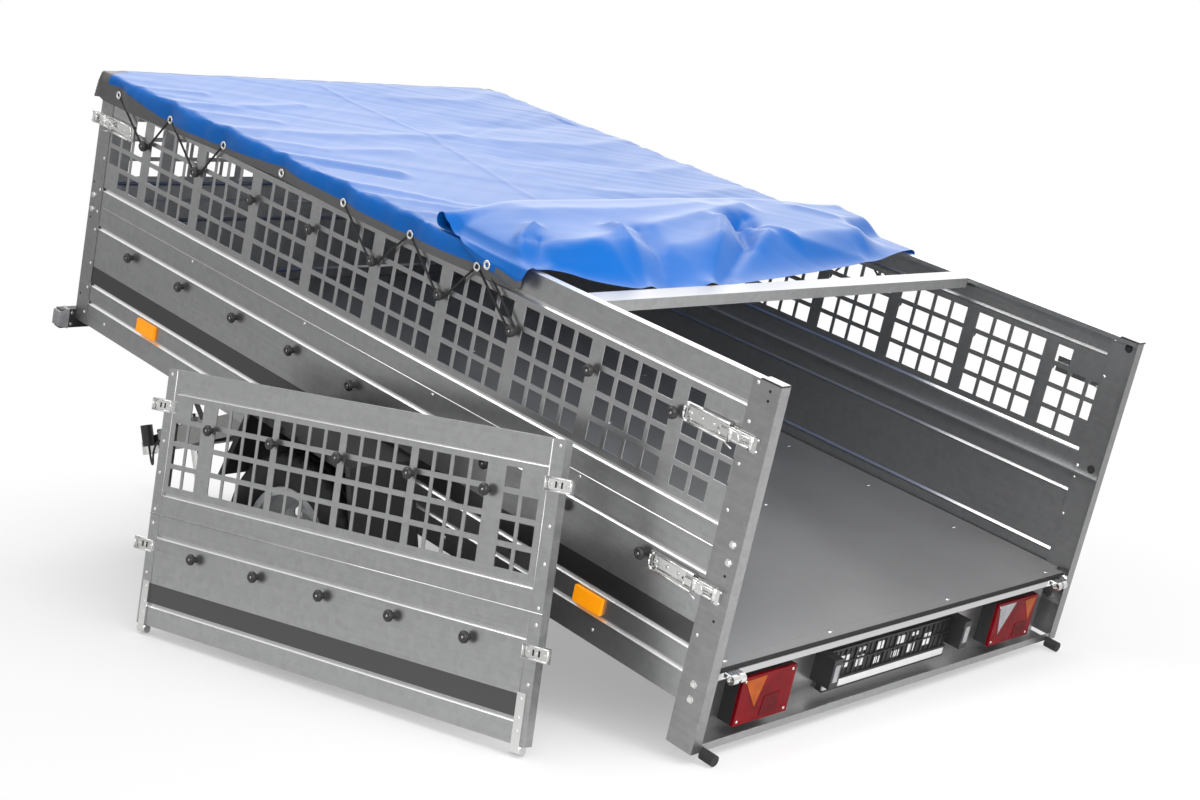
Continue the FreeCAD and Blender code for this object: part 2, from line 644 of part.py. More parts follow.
def latch(name, at, side, way):
    """One latch: a tray with raised edges, a hinged lever, a wire loop and its catch.

    at is the middle of its foot on the wall, way the sign of X towards its catch."""
    x, y, z = at

    def piece(part, start, long, deep_from, deep, high):
        low_x = f"({x} + ({start} + {long} / 2) * {way} - {long} / 2)"
        low_y = f"({y} + ({deep_from} + {deep} / 2) * {side} - {deep} / 2)"
        return block(f"{name}_{part}", long, deep, high, (low_x, low_y, f"{z} - ({high}) / 2"))

    tray = piece("tray", "0 - latch_long / 2", "latch_long * 0.62", "0", "latch_wall",
                 "latch_high")
    edges = []
    for edge in (-1, 1):
        rim = piece(f"rim_{edge + 1}", "0 - latch_long / 2", "latch_long * 0.62", "0",
                    "latch_deep", "latch_wall")
        bind(rim, Placement__Base__z=f"{z} + {edge} * (latch_high - latch_wall) / 2"
                                     " - latch_wall / 2")
        edges.append(rim)
        wire = rod(f"{name}_wire_{edge + 1}", "wire_radius", "latch_long * 0.5",
                   (f"{x} + latch_long * ({0.02 if way > 0 else -0.52})",
                    f"{y} + (latch_deep - wire_radius) * {side}",
                    f"{z} + {edge} * latch_high * 0.3"), "X")
        edges.append(wire)
    lever = piece("lever", "latch_long * 0.02", "latch_long * 0.26", "0", "latch_deep * 1.4",
                  "latch_high * 0.6")
    catch = piece("catch", "latch_long * 0.32", "latch_long * 0.18", "0", "latch_wall",
                  "latch_high * 0.8")
    loop = piece("hook", "latch_long * 0.44", "latch_long * 0.06", "0", "latch_deep",
                 "latch_high * 0.8")
    bridge = piece("bridge", "0", "latch_long * 0.45", "0", "latch_wall", "latch_high * 0.8")
    return fused(name, tray, *edges, lever, catch, loop, bridge)


def latches():
    """Over-centre latches that hold the gates, on the outside of each side wall."""
    pieces = []
    for side in (-1, 1):
        face = mirrored(side, f"{HALF} + skin + seat_gap")
        back = f"({REAR} - latch_back - latch_long / 2)"
        front = f"({FRONT} + latch_ahead + latch_long / 2)"
        for word, x, up, way in (("upper", back, "latch_up", 1), ("lower", back, "latch_low_up", 1),
                                 ("front", front, "latch_up", -1)):
            pieces.append(latch(f"latch_{word}_{side + 1}", (x, face, above_floor(up)), side,
                                way))
    seat(together("latch_set", *pieces), "latches", "bed")


def knob(name, at, turn):
    """A cord knob: neck and head, standing out from its foot along -Y turned by an angle."""
    loop = [("0", "0"), ("0", "knob_neck"), ("(knob_deep - knob_head)", "knob_neck"),
            ("(knob_deep - knob_head)", "knob_radius"),
            ("knob_deep - knob_head / 3", "knob_radius"), ("knob_deep", "knob_radius * 0.8"),
            ("knob_deep", "0")]
    piece = turned(name, [(f"0 - ({along})", radius) for along, radius in loop])
    return bind(piece, Placement=f"placement({vector(at)}; rotation({turn}; 0; 0))")


def tarp_knobs():
    """Knobs for the tarp's elastic cord along both walls and the front."""
    pieces = []
    for side in (-1, 1):
        for number in range(count("bays") + 1):
            at = f"({MIDDLE} + ({number} - bays / 2) * bay_pitch)"
            for up in ("knob_up", "knob_low_up"):
                pieces.append(knob(f"knob_{side + 1}_{number}_{up}",
                                   (at, mirrored(side, HALF), above_floor(up)),
                                   90 + 90 * side))
    for number in range(count("gate_bays") + 1):
        across = f"(({number} - gate_bays / 2) * gate_bay_pitch)"
        pieces.append(knob(f"knob_front_{number}", (FRONT, across, above_floor("knob_up")), -90))
    seat(together("knob_set", *pieces), "tarp_knobs", "bed")


def tube(edges, radius, arcs):
    """A round cord along joined lines and arcs."""
    line = Part.Wire(edges)
    start = edges[0].valueAt(edges[0].FirstParameter)
    ahead = edges[0].tangentAt(edges[0].FirstParameter)
    circle = Part.Circle(start, ahead, size(radius))
    print("cord arcs", [round(arc, 1) for arc in arcs], "length", round(line.Length))
    return line.makePipeShell([Part.Wire([circle.toShape()])], True, False)


def line_to(start, end):
    return Part.LineSegment(start, end).toShape()


def round_knob(first, knob_at, last):
    """The cord's path from one eyelet under a knob's neck to the next, all in one plane."""
    bend = size("knob_neck + cord_radius + running_gap")
    a, centre, b = (FreeCAD.Vector(point) for point in (first, knob_at, last))
    normal = FreeCAD.Vector(0, 0, 1).cross(b - a)

    def touching(start, sign):
        way = centre - start
        turn = FreeCAD.Rotation(normal, math.degrees(sign * math.asin(bend / way.Length)))
        return start + turn.multVec(way) * (1 - (bend / way.Length) ** 2) ** 0.5

    low, high = touching(a, 1), touching(b, -1)
    under = centre + ((centre - a).normalize() + (centre - b).normalize()).normalize() * bend
    edges = [line_to(a, low), Part.Arc(low, under, high).toShape(), line_to(high, b)]
    return tube(edges, "cord_radius", [bend])


BEND_SHARE = 0.45


def bent(path, radius):
    """A cord along straight runs, joined by arcs that take a share of the shorter run."""
    edges, arcs, start = [], [], path[0]
    for before, corner, after in zip(path, path[1:], path[2:]):
        back, ahead = before - corner, after - corner
        reach = BEND_SHARE * min(back.Length, ahead.Length)
        back.normalize()
        ahead.normalize()
        half = back.getAngle(ahead) / 2
        arcs.append(reach * math.tan(half))
        top = corner + (back + ahead).normalize() * (arcs[-1] / math.sin(half) - arcs[-1])
        edges += [line_to(start, corner + back * reach),
                  Part.Arc(corner + back * reach, top, corner + ahead * reach).toShape()]
        start = corner + ahead * reach
    return tube(edges + [line_to(start, path[-1])], radius, arcs)


EYELETS = (93, 370, 639, 913, 1187, 1463, 1721, 1765)
TIES = ((0, 0, 1), (1, 1, 2), (4, 4, 5), (5, 5, 6), (6, 6, 7))


def tie_cord():
    """Elastic cord of the tarp: from eyelet to eyelet under the knobs, both sides and front."""
    pieces = []
    height, drop = size(above_floor("eyelet_up")), size(above_floor("knob_up"))
    front, pitch = size(FRONT), size("bay_pitch")
    out = size(f"{HALF} + skin + 2 * seat_gap + tarp_thick + cord_radius")
    ahead = size(f"{FRONT} - skin - 2 * seat_gap - tarp_thick - cord_radius")
    for side in (-1, 1):
        for first, number, last in TIES:
            rib = size(f"{MIDDLE} + ({number} - bays / 2) * bay_pitch")
            pieces.append(round_knob((front + EYELETS[first], side * out, height),
                                     (rib, side * out, drop),
                                     (front + EYELETS[last], side * out, height)))
    for number in (-1, 0, 1):
        rib = number * size("gate_bay_pitch")
        reach = size("front_eyelet") - size("cord_radius")
        pieces.append(round_knob((ahead, rib - reach, height), (ahead, rib, drop),
                                 (ahead, rib + reach, height)))
    whole = doc.addObject("Part::Feature", "cord_whole")
    whole.Shape = Part.Compound(pieces)
    seat(whole, "tie_cord", "bed")


def side_reflectors():
    pieces = []
    for side in (-1, 1):
        near = mirrored(side, f"{HALF} + reflector_deep / 2") + " - reflector_deep / 2"
        for end in ("reflector_front", "reflector_rear"):
            pieces.append(block(f"{end}_{side + 1}", "reflector_long", "reflector_deep",
                                "reflector_high",
                                (f"{FRONT} + {end}", near, above_floor("0 - reflector_low"))))
    seat(together("reflector_set", *pieces), "side_reflectors", "bed")


def marker_lamps():
    """Front marker lamps that stand out sideways at the bed's lower front corners."""
    pieces = []
    for side in (-1, 1):
        near = mirrored(side, "marker_in + marker_wide / 2") + " - marker_wide / 2"
        pieces.append(block(f"marker_{side + 1}", "marker_deep", "marker_wide", "marker_high",
                            (f"{FRONT} - skin - marker_deep", near,
                             above_floor("0 - marker_low"))))
    seat(together("marker_pair", *pieces), "marker_lamps", "bed")


def crossbar():
    """Removable tube across the top, flush with the walls and held between their lips."""
    top = above_floor("wall_top")
    near = "(crossbar_at - axle_back - crossbar_wide / 2)"
    far = f"({near} + crossbar_wide)"
    half = f"({HALF} - wall_flange - seat_gap)"
    low = f"({top} - crossbar_high)"
    loops = [box_loop(near, low, far, top),
             box_loop(f"{near} + crossbar_wall", f"{low} + crossbar_wall",
                      f"{far} - crossbar_wall", f"{top} - crossbar_wall")]
    seat(run("crossbar_run", "XZ", ("0", half, "0"), f"2 * {half}", *loops), "crossbar", "bed")


def tarp():
    """Tarp over the front of the bed, its hem down the walls and its rear rolled up."""
    top = f"({above_floor('wall_top')} + seat_gap)"
    half = f"({HALF} + skin + seat_gap)"
    wide = f"({half} + tarp_thick)"
    section = [(f"0 - {wide}", f"{top} - tarp_hem"), (f"0 - {half}", f"{top} - tarp_hem"),
               (f"0 - {half}", top), (half, top), (half, f"{top} - tarp_hem"),
               (wide, f"{top} - tarp_hem"), (wide, f"{top} + tarp_thick"),
               (f"0 - {wide}", f"{top} + tarp_thick")]
    start = f"({FRONT} - tarp_thick - skin - seat_gap)"
    cover = run("tarp_cover", "YZ", (start, "0", "0"),
                "tarp_end + tarp_thick + skin + seat_gap", section)
    hem = block("tarp_front_hem", "tarp_thick", f"2 * {wide}", "tarp_hem",
                (start, f"0 - {wide}", f"{top} - tarp_hem"))
    near = "(fold_front - axle_back)"
    long = "(tarp_end - fold_front)"
    fold = run("tarp_fold", "XZ", ("0", half, "0"), f"2 * {half}",
               [(f"{near} - fold_high / 4", f"{top} + fold_high / 2"),
                (f"{near} + fold_high / 4", f"{top} + fold_high * 0.9"),
                (f"{near} + {long} * 0.35", f"{top} + fold_high"),
                (f"{near} + {long} * 0.75", f"{top} + fold_high * 0.6"),
                (f"{near} + {long}", f"{top} + tarp_thick"), (f"{near} + {long}", top),
                (near, top)])
    seat(fused("tarp_whole", cover, hem, fold), "tarp", "bed")


def wheel(side, word):
    """A road wheel: tyre with rounded shoulders, and a pressed rim with its disc and hub."""
    half = "(tyre_wide / 2)"
    tread = "(tread_wide / 2)"
    rim = "(rim_wide / 2)"
    section = [(f"0 - {tread}", "tyre_radius"), (tread, "tyre_radius"),
               (f"({tread} + {half}) / 2", "tyre_radius - tyre_wide * 0.07"),
               (half, "bead_radius * 0.45 + tyre_radius * 0.55"),
               (f"{rim} * 1.05", "rim_radius + seat_gap"), (f"{rim} - rim_wall",
                                                            "rim_radius + seat_gap"),
               (f"{rim} - rim_wall", "bead_radius + seat_gap"),
               (f"rim_wall - {rim}", "bead_radius + seat_gap"),
               (f"rim_wall - {rim}", "rim_radius + seat_gap"),
               (f"0 - {rim} * 1.05", "rim_radius + seat_gap"),
               (f"0 - {half}", "bead_radius * 0.45 + tyre_radius * 0.55"),
               (f"0 - ({tread} + {half}) / 2", "tyre_radius - tyre_wide * 0.07")]
    seat(together(f"tyre_{word}_whole", turned(f"tyre_{word}_turned", section)), f"tyre_{word}",
         "axle", ("0", mirrored(side, "wheel_track / 2"), "0"))

    def out(text):
        return mirrored(side, text)

    well = "(rim_wide / 8)"
    band = [(out(rim), "bead_radius - rim_wall"), (out(rim), "rim_radius"),
            (out(f"{rim} - rim_wall"), "rim_radius"), (out(f"{rim} - rim_wall"), "bead_radius"),
            (out(f"{well} + rim_wall * 4"), "bead_radius"), (out(f"{well}"), "well_radius"),
            (out(f"0 - {well}"), "well_radius"), (out(f"0 - {well} - rim_wall * 4"),
                                                  "bead_radius"),
            (out(f"rim_wall - {rim}"), "bead_radius"), (out(f"rim_wall - {rim}"), "rim_radius"),
            (out(f"0 - {rim}"), "rim_radius"), (out(f"0 - {rim}"), "bead_radius - rim_wall"),
            (out(f"0 - {well} - rim_wall * 4"), "bead_radius - rim_wall"),
            (out(f"0 - {well}"), "well_radius - rim_wall"),
            (out(f"{well}"), "well_radius - rim_wall"),
            (out(f"{well} + rim_wall * 4"), "bead_radius - rim_wall")]
    ring = turned(f"rim_{word}_band", band)
    face = f"({rim} - disc_in)"
    bore = "(stub_radius + running_gap)"
    disc = [(out(f"{face} - rim_wall"), bore), (out(f"{face} - hub_long"), bore),
            (out(f"{face} - hub_long"), "hub_radius"), (out(f"{face} - rim_wall"), "hub_radius"),
            (out(f"{face} - rim_wall"), "vent_ring - vent_radius"),
            (out(f"{face} + rim_wall * 2"), "vent_ring - vent_radius / 2"),
            (out(f"{face} + rim_wall * 2"), "vent_ring + vent_radius / 2"),
            (out(f"{face} - rim_wall"), "well_radius - rim_wall / 2"),
            (out(f"{face}"), "well_radius - rim_wall / 2"),
            (out(f"{face} + rim_wall * 3"), "vent_ring + vent_radius / 2"),
            (out(f"{face} + rim_wall * 3"), "vent_ring - vent_radius / 2"),
            (out(face), "hub_radius + rim_wall"), (out(face), "cap_radius"),
            (out(f"{face} + cap_long"), "cap_radius * 0.8"), (out(f"{face} + cap_long"), "0"),
            (out(f"{face}"), "0"), (out(f"{face} - rim_wall"), "0")]
    dish = turned(f"rim_{word}_disc", disc)
    vents = []
    for number in range(count("vent_count")):
        turn = f"(360 / vent_count * {number})"
        vent = bind(doc.addObject("Part::Cylinder", f"vent_{word}_{number}"),
                    Radius="vent_radius", Height="rim_wide")
        bind(vent, Placement=f"placement(vector(0; 0; 0); rotation(vector(0; 1; 0); {turn}))"
                             " * placement(vector(vent_ring; 0 - rim_wide / 2; 0);"
                             " rotation(vector(1; 0; 0); -90))")
        vents.append(vent)
    dish = cut(f"rim_{word}_vented", dish, together(f"vents_{word}", *vents))
    seat(fused(f"rim_{word}_whole", ring, dish), f"rim_{word}", "axle",
         ("0", mirrored(side, "wheel_track / 2"), "0"))


def drawbar_arms():
    """Two tubes that run together from the hinge to the nose, each with an eye at its rear."""
    pieces = []
    for side in (-1, 1):
        rear = f"({mirrored(side, 'arm_spread / 2')})"
        nose = f"({mirrored(side, 'nose_spread / 2')})"
        tip = "(0 - coupling_reach + nose_back)"
        half = "(tube_wide / 2)"
        start = "(0 - pin_radius * 1.3)"

        def bar(name, inset):
            edge = f"({half} - {inset})"
            loop = [(start, f"{rear} - {edge}"), (start, f"{rear} + {edge}"),
                    (tip, f"{nose} + {edge}"), (tip, f"{nose} - {edge}")]
            return run(name, "XY", ("0", "0", f"{inset} - arm_high / 2"),
                       f"arm_high - 2 * {inset}", loop)

        tube = cut(f"arm_hollow_{side + 1}", bar(f"arm_out_{side + 1}", "0"),
                   bar(f"arm_in_{side + 1}", "tube_wall"))
        eye = rod(f"eye_{side + 1}", "eye_radius", "eye_wide",
                  ("0", f"{rear} - eye_wide / 2", "0"), "Y")
        bore = rod(f"eye_bore_{side + 1}", "pin_radius + running_gap", "eye_wide + 2 * overrun",
                   ("0", f"{rear} - eye_wide / 2 - overrun", "0"), "Y")
        pieces.append(cut(f"arm_{side + 1}", fused(f"arm_eye_{side + 1}", tube, eye), bore))
    seat(together("arm_pair", *pieces), "drawbar_arms", "drawbar")


def spread_at(back):
    """Half the distance between the arms' middles, at a distance ahead of the hinge."""
    return (f"(arm_spread / 2 - (arm_spread - nose_spread) / 2 * {back}"
            " / (coupling_reach - nose_back))")


def drawbar_plates():
    """Plates over and under the nose of the arms, with the sleeve that holds the prop stand."""
    front = "(coupling_reach - nose_back - plate_front / 4)"
    rear = f"({front} - plate_long)"
    plates = []
    for number, low in enumerate(("arm_high / 2", "0 - arm_high / 2 - plate_thick")):
        wide_front = f"({spread_at(front)} + tube_wide / 2)"
        wide_rear = f"({spread_at(rear)} + tube_wide / 2)"
        loop = [(f"0 - {front}", f"0 - {wide_front}"), (f"0 - {rear}", f"0 - {wide_rear}"),
                (f"0 - {rear}", wide_rear), (f"0 - {front}", wide_front)]
        plates.append(run(f"nose_plate_{number}", "XY", ("0", "0", low), "plate_thick", loop))
    at = ("0 - stand_reach", "0", "0 - arm_high / 2 - sleeve_below")
    long = "sleeve_below + arm_high + sleeve_above"
    sleeve = rod("sleeve", "stand_radius + sleeve_wall", long, at, "Z")
    bore = rod("sleeve_bore", "stand_radius + running_gap", long, at, "Z")
    seat(cut("plates_whole", fused("plates_solid", *plates, sleeve), bore), "drawbar_plates",
         "drawbar")


def coupling_head():
    """Ball coupling: a pressed neck between the arms and a cup over the ball."""
    cup = rod("cup", "ball_radius + cup_wall", "ball_radius * 1.9",
              ("0 - coupling_reach", "0", "0 - ball_drop - ball_radius * 0.7"), "Z")
    crown = rod("crown", "ball_radius * 0.7", "ball_radius * 0.4",
                ("0 - coupling_reach", "0", "ball_radius * 1.2 - ball_drop"), "Z")
    wide = "(nose_spread - tube_wide - 2 * seat_gap)"
    side = [("0 - coupling_reach - ball_radius", "0 - ball_drop"),
            ("0 - coupling_reach - ball_radius * 0.6", "neck_high / 4"),
            ("0 - coupling_reach + ball_radius", "neck_high * 0.4"),
            ("neck_long * 0.45 - coupling_reach", "neck_high / 2"),
            ("neck_long - coupling_reach", "neck_high / 2"),
            ("neck_long - coupling_reach", "0 - neck_high / 2"),
            ("neck_long * 0.4 - coupling_reach", "0 - neck_high / 2"),
            ("0 - coupling_reach + ball_radius", "0 - ball_drop - ball_radius * 0.7")]
    neck = run("neck", "XZ", ("0", f"{wide} / 2", "0"), wide, side)
    ball = doc.addObject("Part::Sphere", "ball_room")
    bind(ball, Radius="ball_radius + seat_gap")
    bind(ball, Placement=f"placement({vector(('0 - coupling_reach', '0', '0 - ball_drop'))};"
                         " rotation(0; 0; 0))")
    throat = rod("throat", "ball_radius + seat_gap", "2 * ball_radius",
                 ("0 - coupling_reach", "0", "0 - ball_drop - 2 * ball_radius"), "Z")
    seat(cut("coupling_whole", fused("coupling_solid", cup, neck, crown), ball, throat),
         "coupling_head", "drawbar")


def coupling_handle():
    """Handle that lies along the top of the coupling, with the barrel that it turns on."""
    low = "(neck_high / 2 + seat_gap)"
    near = "(neck_long * 0.45 - coupling_reach)"
    side = [(near, low), (f"{near} + handle_long", low),
            (f"{near} + handle_long + handle_thick", f"{low} + handle_up"),
            (f"{near} + handle_long - handle_thick", f"{low} + handle_up"),
            (f"{near} + handle_long * 0.8", f"{low} + handle_thick * 2"),
            (near, f"{low} + handle_thick * 2")]
    grip = run("grip", "XZ", ("0", "handle_wide / 2", "0"), "handle_wide", side)
    barrel = rod("grip_barrel", "handle_thick", "handle_wide",
                 (near, "0 - handle_wide / 2", f"{low} + handle_thick"), "Y")
    seat(fused("handle_whole", grip, barrel), "coupling_handle", "drawbar")


def clamp_lever():
    """Lever that tightens the prop stand's clamp, on the plate behind the sleeve."""
    low = "(arm_high / 2 + plate_thick + seat_gap)"
    near = "(lever_back - stand_reach)"
    side = [(near, low), (f"{near} + lever_thick", low),
            (f"{near} + lever_thick - lever_lean", f"{low} + lever_high"),
            (f"{near} - lever_lean", f"{low} + lever_high")]
    seat(run("lever", "XZ", ("0", "lever_thick / 2", "0"), "lever_thick", side),
         "clamp_lever", "drawbar")


def prop_stand():
    """Prop stand: a tube in the drawbar's clamp, standing on its foot plate's front edge."""
    foot = f"(({HINGE_Z} - {GROUND} - stand_reach * sin{DIP}) / cos{DIP})"
    low = f"(foot_wide / 2 * tan{DIP} - {foot})"
    tube = rod("stand_tube", "stand_radius", f"stand_top - {low} - foot_thick",
               ("0 - stand_reach", "0", f"{low} + foot_thick"), "Z")
    pad = block("stand_pad", "foot_wide", "foot_wide", "foot_thick",
                ("0 - stand_reach - foot_wide / 2", "0 - foot_wide / 2", low))
    seat(fused("stand_whole", tube, pad), "prop_stand", "drawbar")


def tow_plug():
    """Seven-pin plug parked beside the coupling."""
    plug = rod("plug_barrel", "plug_radius", "plug_long",
               ("0 - coupling_reach + ball_radius + cup_wall + plug_radius",
                "0 - plug_radius - nose_spread / 2 + tube_wide / 2", "0 - neck_high / 4"), "Z")
    seat(together("plug_whole", plug), "tow_plug", "drawbar")


CABLE_WAY = ((0, 0, -62), (58, -30, -74), (118, -62, -26))


def tow_cable():
    """Cable from the plug's foot in a loop to the left arm's outer face."""
    plug = FreeCAD.Vector(size("0 - coupling_reach + ball_radius + cup_wall + plug_radius"),
                          size("0 - plug_radius - nose_spread / 2 + tube_wide / 2"),
                          size("0 - neck_high / 4"))
    ahead = FreeCAD.Vector(size("coupling_reach - nose_back"),
                           size("(nose_spread - arm_spread) / 2"), 0).normalize()
    out = FreeCAD.Vector(ahead.y, -ahead.x, 0)
    nose = FreeCAD.Vector(size("nose_back - coupling_reach"), size("0 - nose_spread / 2"), 0)
    end = nose + ahead * size("cable_back") + out * size("tube_wide / 2 + running_gap")
    path = [plug] + [plug + FreeCAD.Vector(way) for way in CABLE_WAY]
    path += [end + out * size("cable_out"), end]
    whole = doc.addObject("Part::Feature", "cable_whole")
    whole.Shape = bent(path, "cable_radius")
    print("cable way", [[round(value, 1) for value in point] for point in path])
    seat(whole, "tow_cable", "drawbar")


def gate_panel():
    """Lower half of the tailgate: a folded sheet between two full-height end channels."""
    loop = panel_loop("0", 1, "0", "gate_seam", ["gate_bead_low", "gate_bead_mid"],
                      "gate_thick", "gate_thick", None)
    sheet_long = "(gate_long - 2 * gate_post)"
    lower = run("gate_lower", "YZ", (f"0 - {sheet_long} / 2", "0", "0"), sheet_long, loop)
    posts = [block(f"gate_post_{side + 1}", "gate_post", "gate_thick", "gate_high",
                   (mirrored(side, "gate_long / 2 - gate_post / 2") + " - gate_post / 2", "0",
                    "0")) for side in (-1, 1)]
    seat(fused("gate_panel_whole", lower, *posts), "gate_panel", "gate")


def gate_mesh():
    """Upper half of the tailgate, with the same holes as the walls."""
    body = mesh_panel("gate_mesh", 1, "gate_long - 2 * gate_post", "gate_seam", "gate_high",
                      ["gate_bead_mesh", "gate_bead_top"], "gate_row_low", "gate_bays",
                      "gate_bay_pitch", GATE_ENDS, "gate_thick")
    seat(body, "gate_mesh", "gate")


def gate_fittings():
    """Keepers for the latches, hinge straps and the hooks that drop into the sill's sockets."""
    pieces = []
    for side in (-1, 1):
        middle = "gate_long / 2 + keeper_out - keeper_long / 2"
        near = mirrored(side, middle) + " - keeper_long / 2"
        for up in ("keeper_up", "keeper_low_up"):
            low, top = f"({up} - keeper_high / 2)", f"({up} + keeper_high / 2)"
            rim = "(keeper_deep * 2)"
            loop = [("0", low), ("0", top), (f"0 - {rim}", top),
                    (f"0 - {rim}", f"{top} - keeper_deep"), ("0 - keeper_deep",
                                                              f"{top} - keeper_deep"),
                    ("0 - keeper_deep", f"{low} + keeper_deep"),
                    (f"0 - {rim}", f"{low} + keeper_deep"), (f"0 - {rim}", low)]
            pieces.append(run(f"{up}_{side + 1}", "YZ", (near, "0", "0"), "keeper_long", loop))
        middle = "gate_long / 2 - strap_wide"
        near = mirrored(side, middle) + " - strap_wide / 2"
        strap = block(f"strap_{side + 1}", "strap_wide", "keeper_deep",
                      "strap_high + hook_radius", (near, "0 - keeper_deep", "0 - hook_radius"))
        hook = rod(f"hook_{side + 1}", "hook_radius", "hook_wide",
                   (mirrored(side, middle) + " - hook_wide / 2", "hook_radius - keeper_deep",
                    "0 - hook_radius - seat_gap"), "X")
        pieces.append(fused(f"hanger_{side + 1}", strap, hook))
    seat(together("fitting_set", *pieces), "gate_fittings", "gate")


def gate_knobs():
    """Two rows of knobs on the gate's ribs."""
    pieces = []
    for number in range(count("gate_bays") + 1):
        at = f"(({number} - gate_bays / 2) * gate_bay_pitch)"
        for up in ("gate_knob_up", "gate_knob_low_up"):
            pieces.append(knob(f"{up}_{number}", (at, "0", up), 0))
    seat(together("gate_knob_set", *pieces), "gate_knobs", "gate")


for side, word in ((-1, "left"), (1, "right")):
    side_wall(f"side_wall_{word}", side)
    mesh_side(f"mesh_side_{word}", side)
    rear_post(f"rear_post_{word}", side)
    mudguard(f"mudguard_{word}", side)
    wheel(side, word)
front_wall()
mesh_front()
front_posts()
rear_sill()
floor_board()
cross_members()
chassis_members()
tip_lugs()
axle_beam()
rear_lamps()
plate_holder()
buffers()
gate_sockets()
latches()
tarp_knobs()
side_reflectors()
marker_lamps()
crossbar()
tarp()
tie_cord()
drawbar_arms()
drawbar_plates()
coupling_head()
coupling_handle()
clamp_lever()
prop_stand()
tow_plug()
tow_cable()
gate_panel()
gate_mesh()
gate_fittings()
gate_knobs()
doc.recompute()

failed = [thing.Label for thing in doc.Objects
          if "Invalid" in thing.State or "Error" in thing.State]
failed += [label for label, thing in NODES.items()
           if thing.Shape.isNull() or not thing.Shape.isValid() or thing.Shape.Volume <= 0]
if failed:
    raise SystemExit("These did not build: " + ", ".join(failed))
os.makedirs("parts", exist_ok=True)
for label, thing in NODES.items():
    thing.Shape.exportStep(f"parts/{label}.step")
    print(label, len(thing.Shape.Solids), round(thing.Shape.Volume / 1000), "cm3")
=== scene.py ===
# %% [markdown]
# Dressing a box trailer
#
# The rigid parts of the trailer come in already modelled. This file gives them their metal,
# plastic and rubber, and adds what is soft or small: the tarp with its cord, the tyres, the
# fasteners, the lamps' faces and the tow cable.

# %% Load the trailer
import math

import bpy
import numpy as np
from mathutils import Matrix, Vector


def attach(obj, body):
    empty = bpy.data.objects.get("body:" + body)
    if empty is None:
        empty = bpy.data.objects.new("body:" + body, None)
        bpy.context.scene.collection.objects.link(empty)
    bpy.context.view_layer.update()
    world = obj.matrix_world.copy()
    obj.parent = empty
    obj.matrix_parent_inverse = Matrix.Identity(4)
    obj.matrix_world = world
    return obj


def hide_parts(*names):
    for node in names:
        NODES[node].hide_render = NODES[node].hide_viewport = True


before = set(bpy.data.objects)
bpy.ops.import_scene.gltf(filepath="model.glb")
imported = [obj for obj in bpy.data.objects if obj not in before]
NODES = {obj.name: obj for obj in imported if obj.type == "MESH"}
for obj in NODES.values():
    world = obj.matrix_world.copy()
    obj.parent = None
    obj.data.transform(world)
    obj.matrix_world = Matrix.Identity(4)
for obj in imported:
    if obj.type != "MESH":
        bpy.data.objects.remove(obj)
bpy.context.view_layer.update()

# %% [markdown]
# Frames to work in
#
# The bed is tipped back, the drawbar dips and the tailgate leans, so nothing on them is square
# to the floor. Each gets a frame of its own: a matrix that turns a place measured along the bed,
# the drawbar or the gate, in millimetres, into a place in the scene, in metres. Turning each
# object would do the same, but then its origin would move with it. This way every mesh stays at
# the origin, and a rivet's place is a plain number, as it would be on a drawing.

# %% Frames of the bed, the drawbar, the wheels and the gate
TIP = math.radians(13.53)
DIP = math.radians(13.5)
HINGE = np.array([1509.66, 0.0, 387.85])
AXLE = np.array([2098.975, 0.0, 122.611])
GROUND = -150.889
FLOOR_UP = 257.5
BED_CORNER = np.array([-1400.8, 0.0, FLOOR_UP])
GATE_FOOT = np.array([262.0, -1069.6, GROUND + 27.5 - AXLE[2]])
SIDES = ((-1, "left"), (1, "right"))


def turn(axis, angle):
    """A turn about one axis, as a matrix."""
    return np.array(Matrix.Rotation(angle, 3, axis))


BED = (turn("Y", TIP), AXLE)
DRAWBAR = (turn("Y", -DIP), HINGE)
WHEELS = (np.eye(3), AXLE)
GATE = (turn("Z", math.radians(3.405)) @ turn("X", math.radians(-8.83)), AXLE + GATE_FOOT)


def seat(points, where):
    """Places in a frame (mm), turned by its matrix, moved to its origin and made metres."""
    matrix, origin = where
    return (np.asarray(points, float) @ matrix.T + origin) / 1000


def bed(points):
    """Places from the bed's front, middle and floor (mm) as places in the scene."""
    return seat(np.asarray(points, float) + BED_CORNER, BED)


def on_side(places, side):
    """Places given for the right side, on the side asked for (-1 left, 1 right)."""
    return [(x, side * y, z) for x, y, z in places]


print("bed front, middle of the floor:", bed([(0, 0, 0)]).round(3)[0])

# %% [markdown]
# From arrays to meshes
#
# Most new pieces are surfaces: a function of two parameters worked out on a grid. The helper
# below takes the grid of points as one array, rows by columns by three, and joins neighbours
# into four-sided faces. The columns can close on themselves, as round a tyre or a bolt. Blender's
# own primitives would need moving and turning afterwards; whole arrays need neither.

# %% Grids, tubes and copies of small pieces
def mesh_object(name, points, faces, material, smooth=True):
    """One object at the origin, its corners given in the scene."""
    mesh = bpy.data.meshes.new(name)
    mesh.from_pydata([tuple(p) for p in points], [], [tuple(f) for f in faces])
    mesh.polygons.foreach_set("use_smooth", [smooth] * len(mesh.polygons))
    mesh.materials.append(material)
    piece = bpy.data.objects.new(name, mesh)
    bpy.context.scene.collection.objects.link(piece)
    return piece


def grid_faces(rows, columns, ring=False):
    """Corner numbers of a grid's four-sided faces; a ring's last column joins its first."""
    r = np.arange(rows - 1)[:, None]
    c = np.arange(columns if ring else columns - 1)[None, :]
    r2, c2 = r + 1, (c + 1) % columns
    faces = np.stack([r * columns + c, r2 * columns + c, r2 * columns + c2, r * columns + c2], -1)
    return faces.reshape(-1, 4)


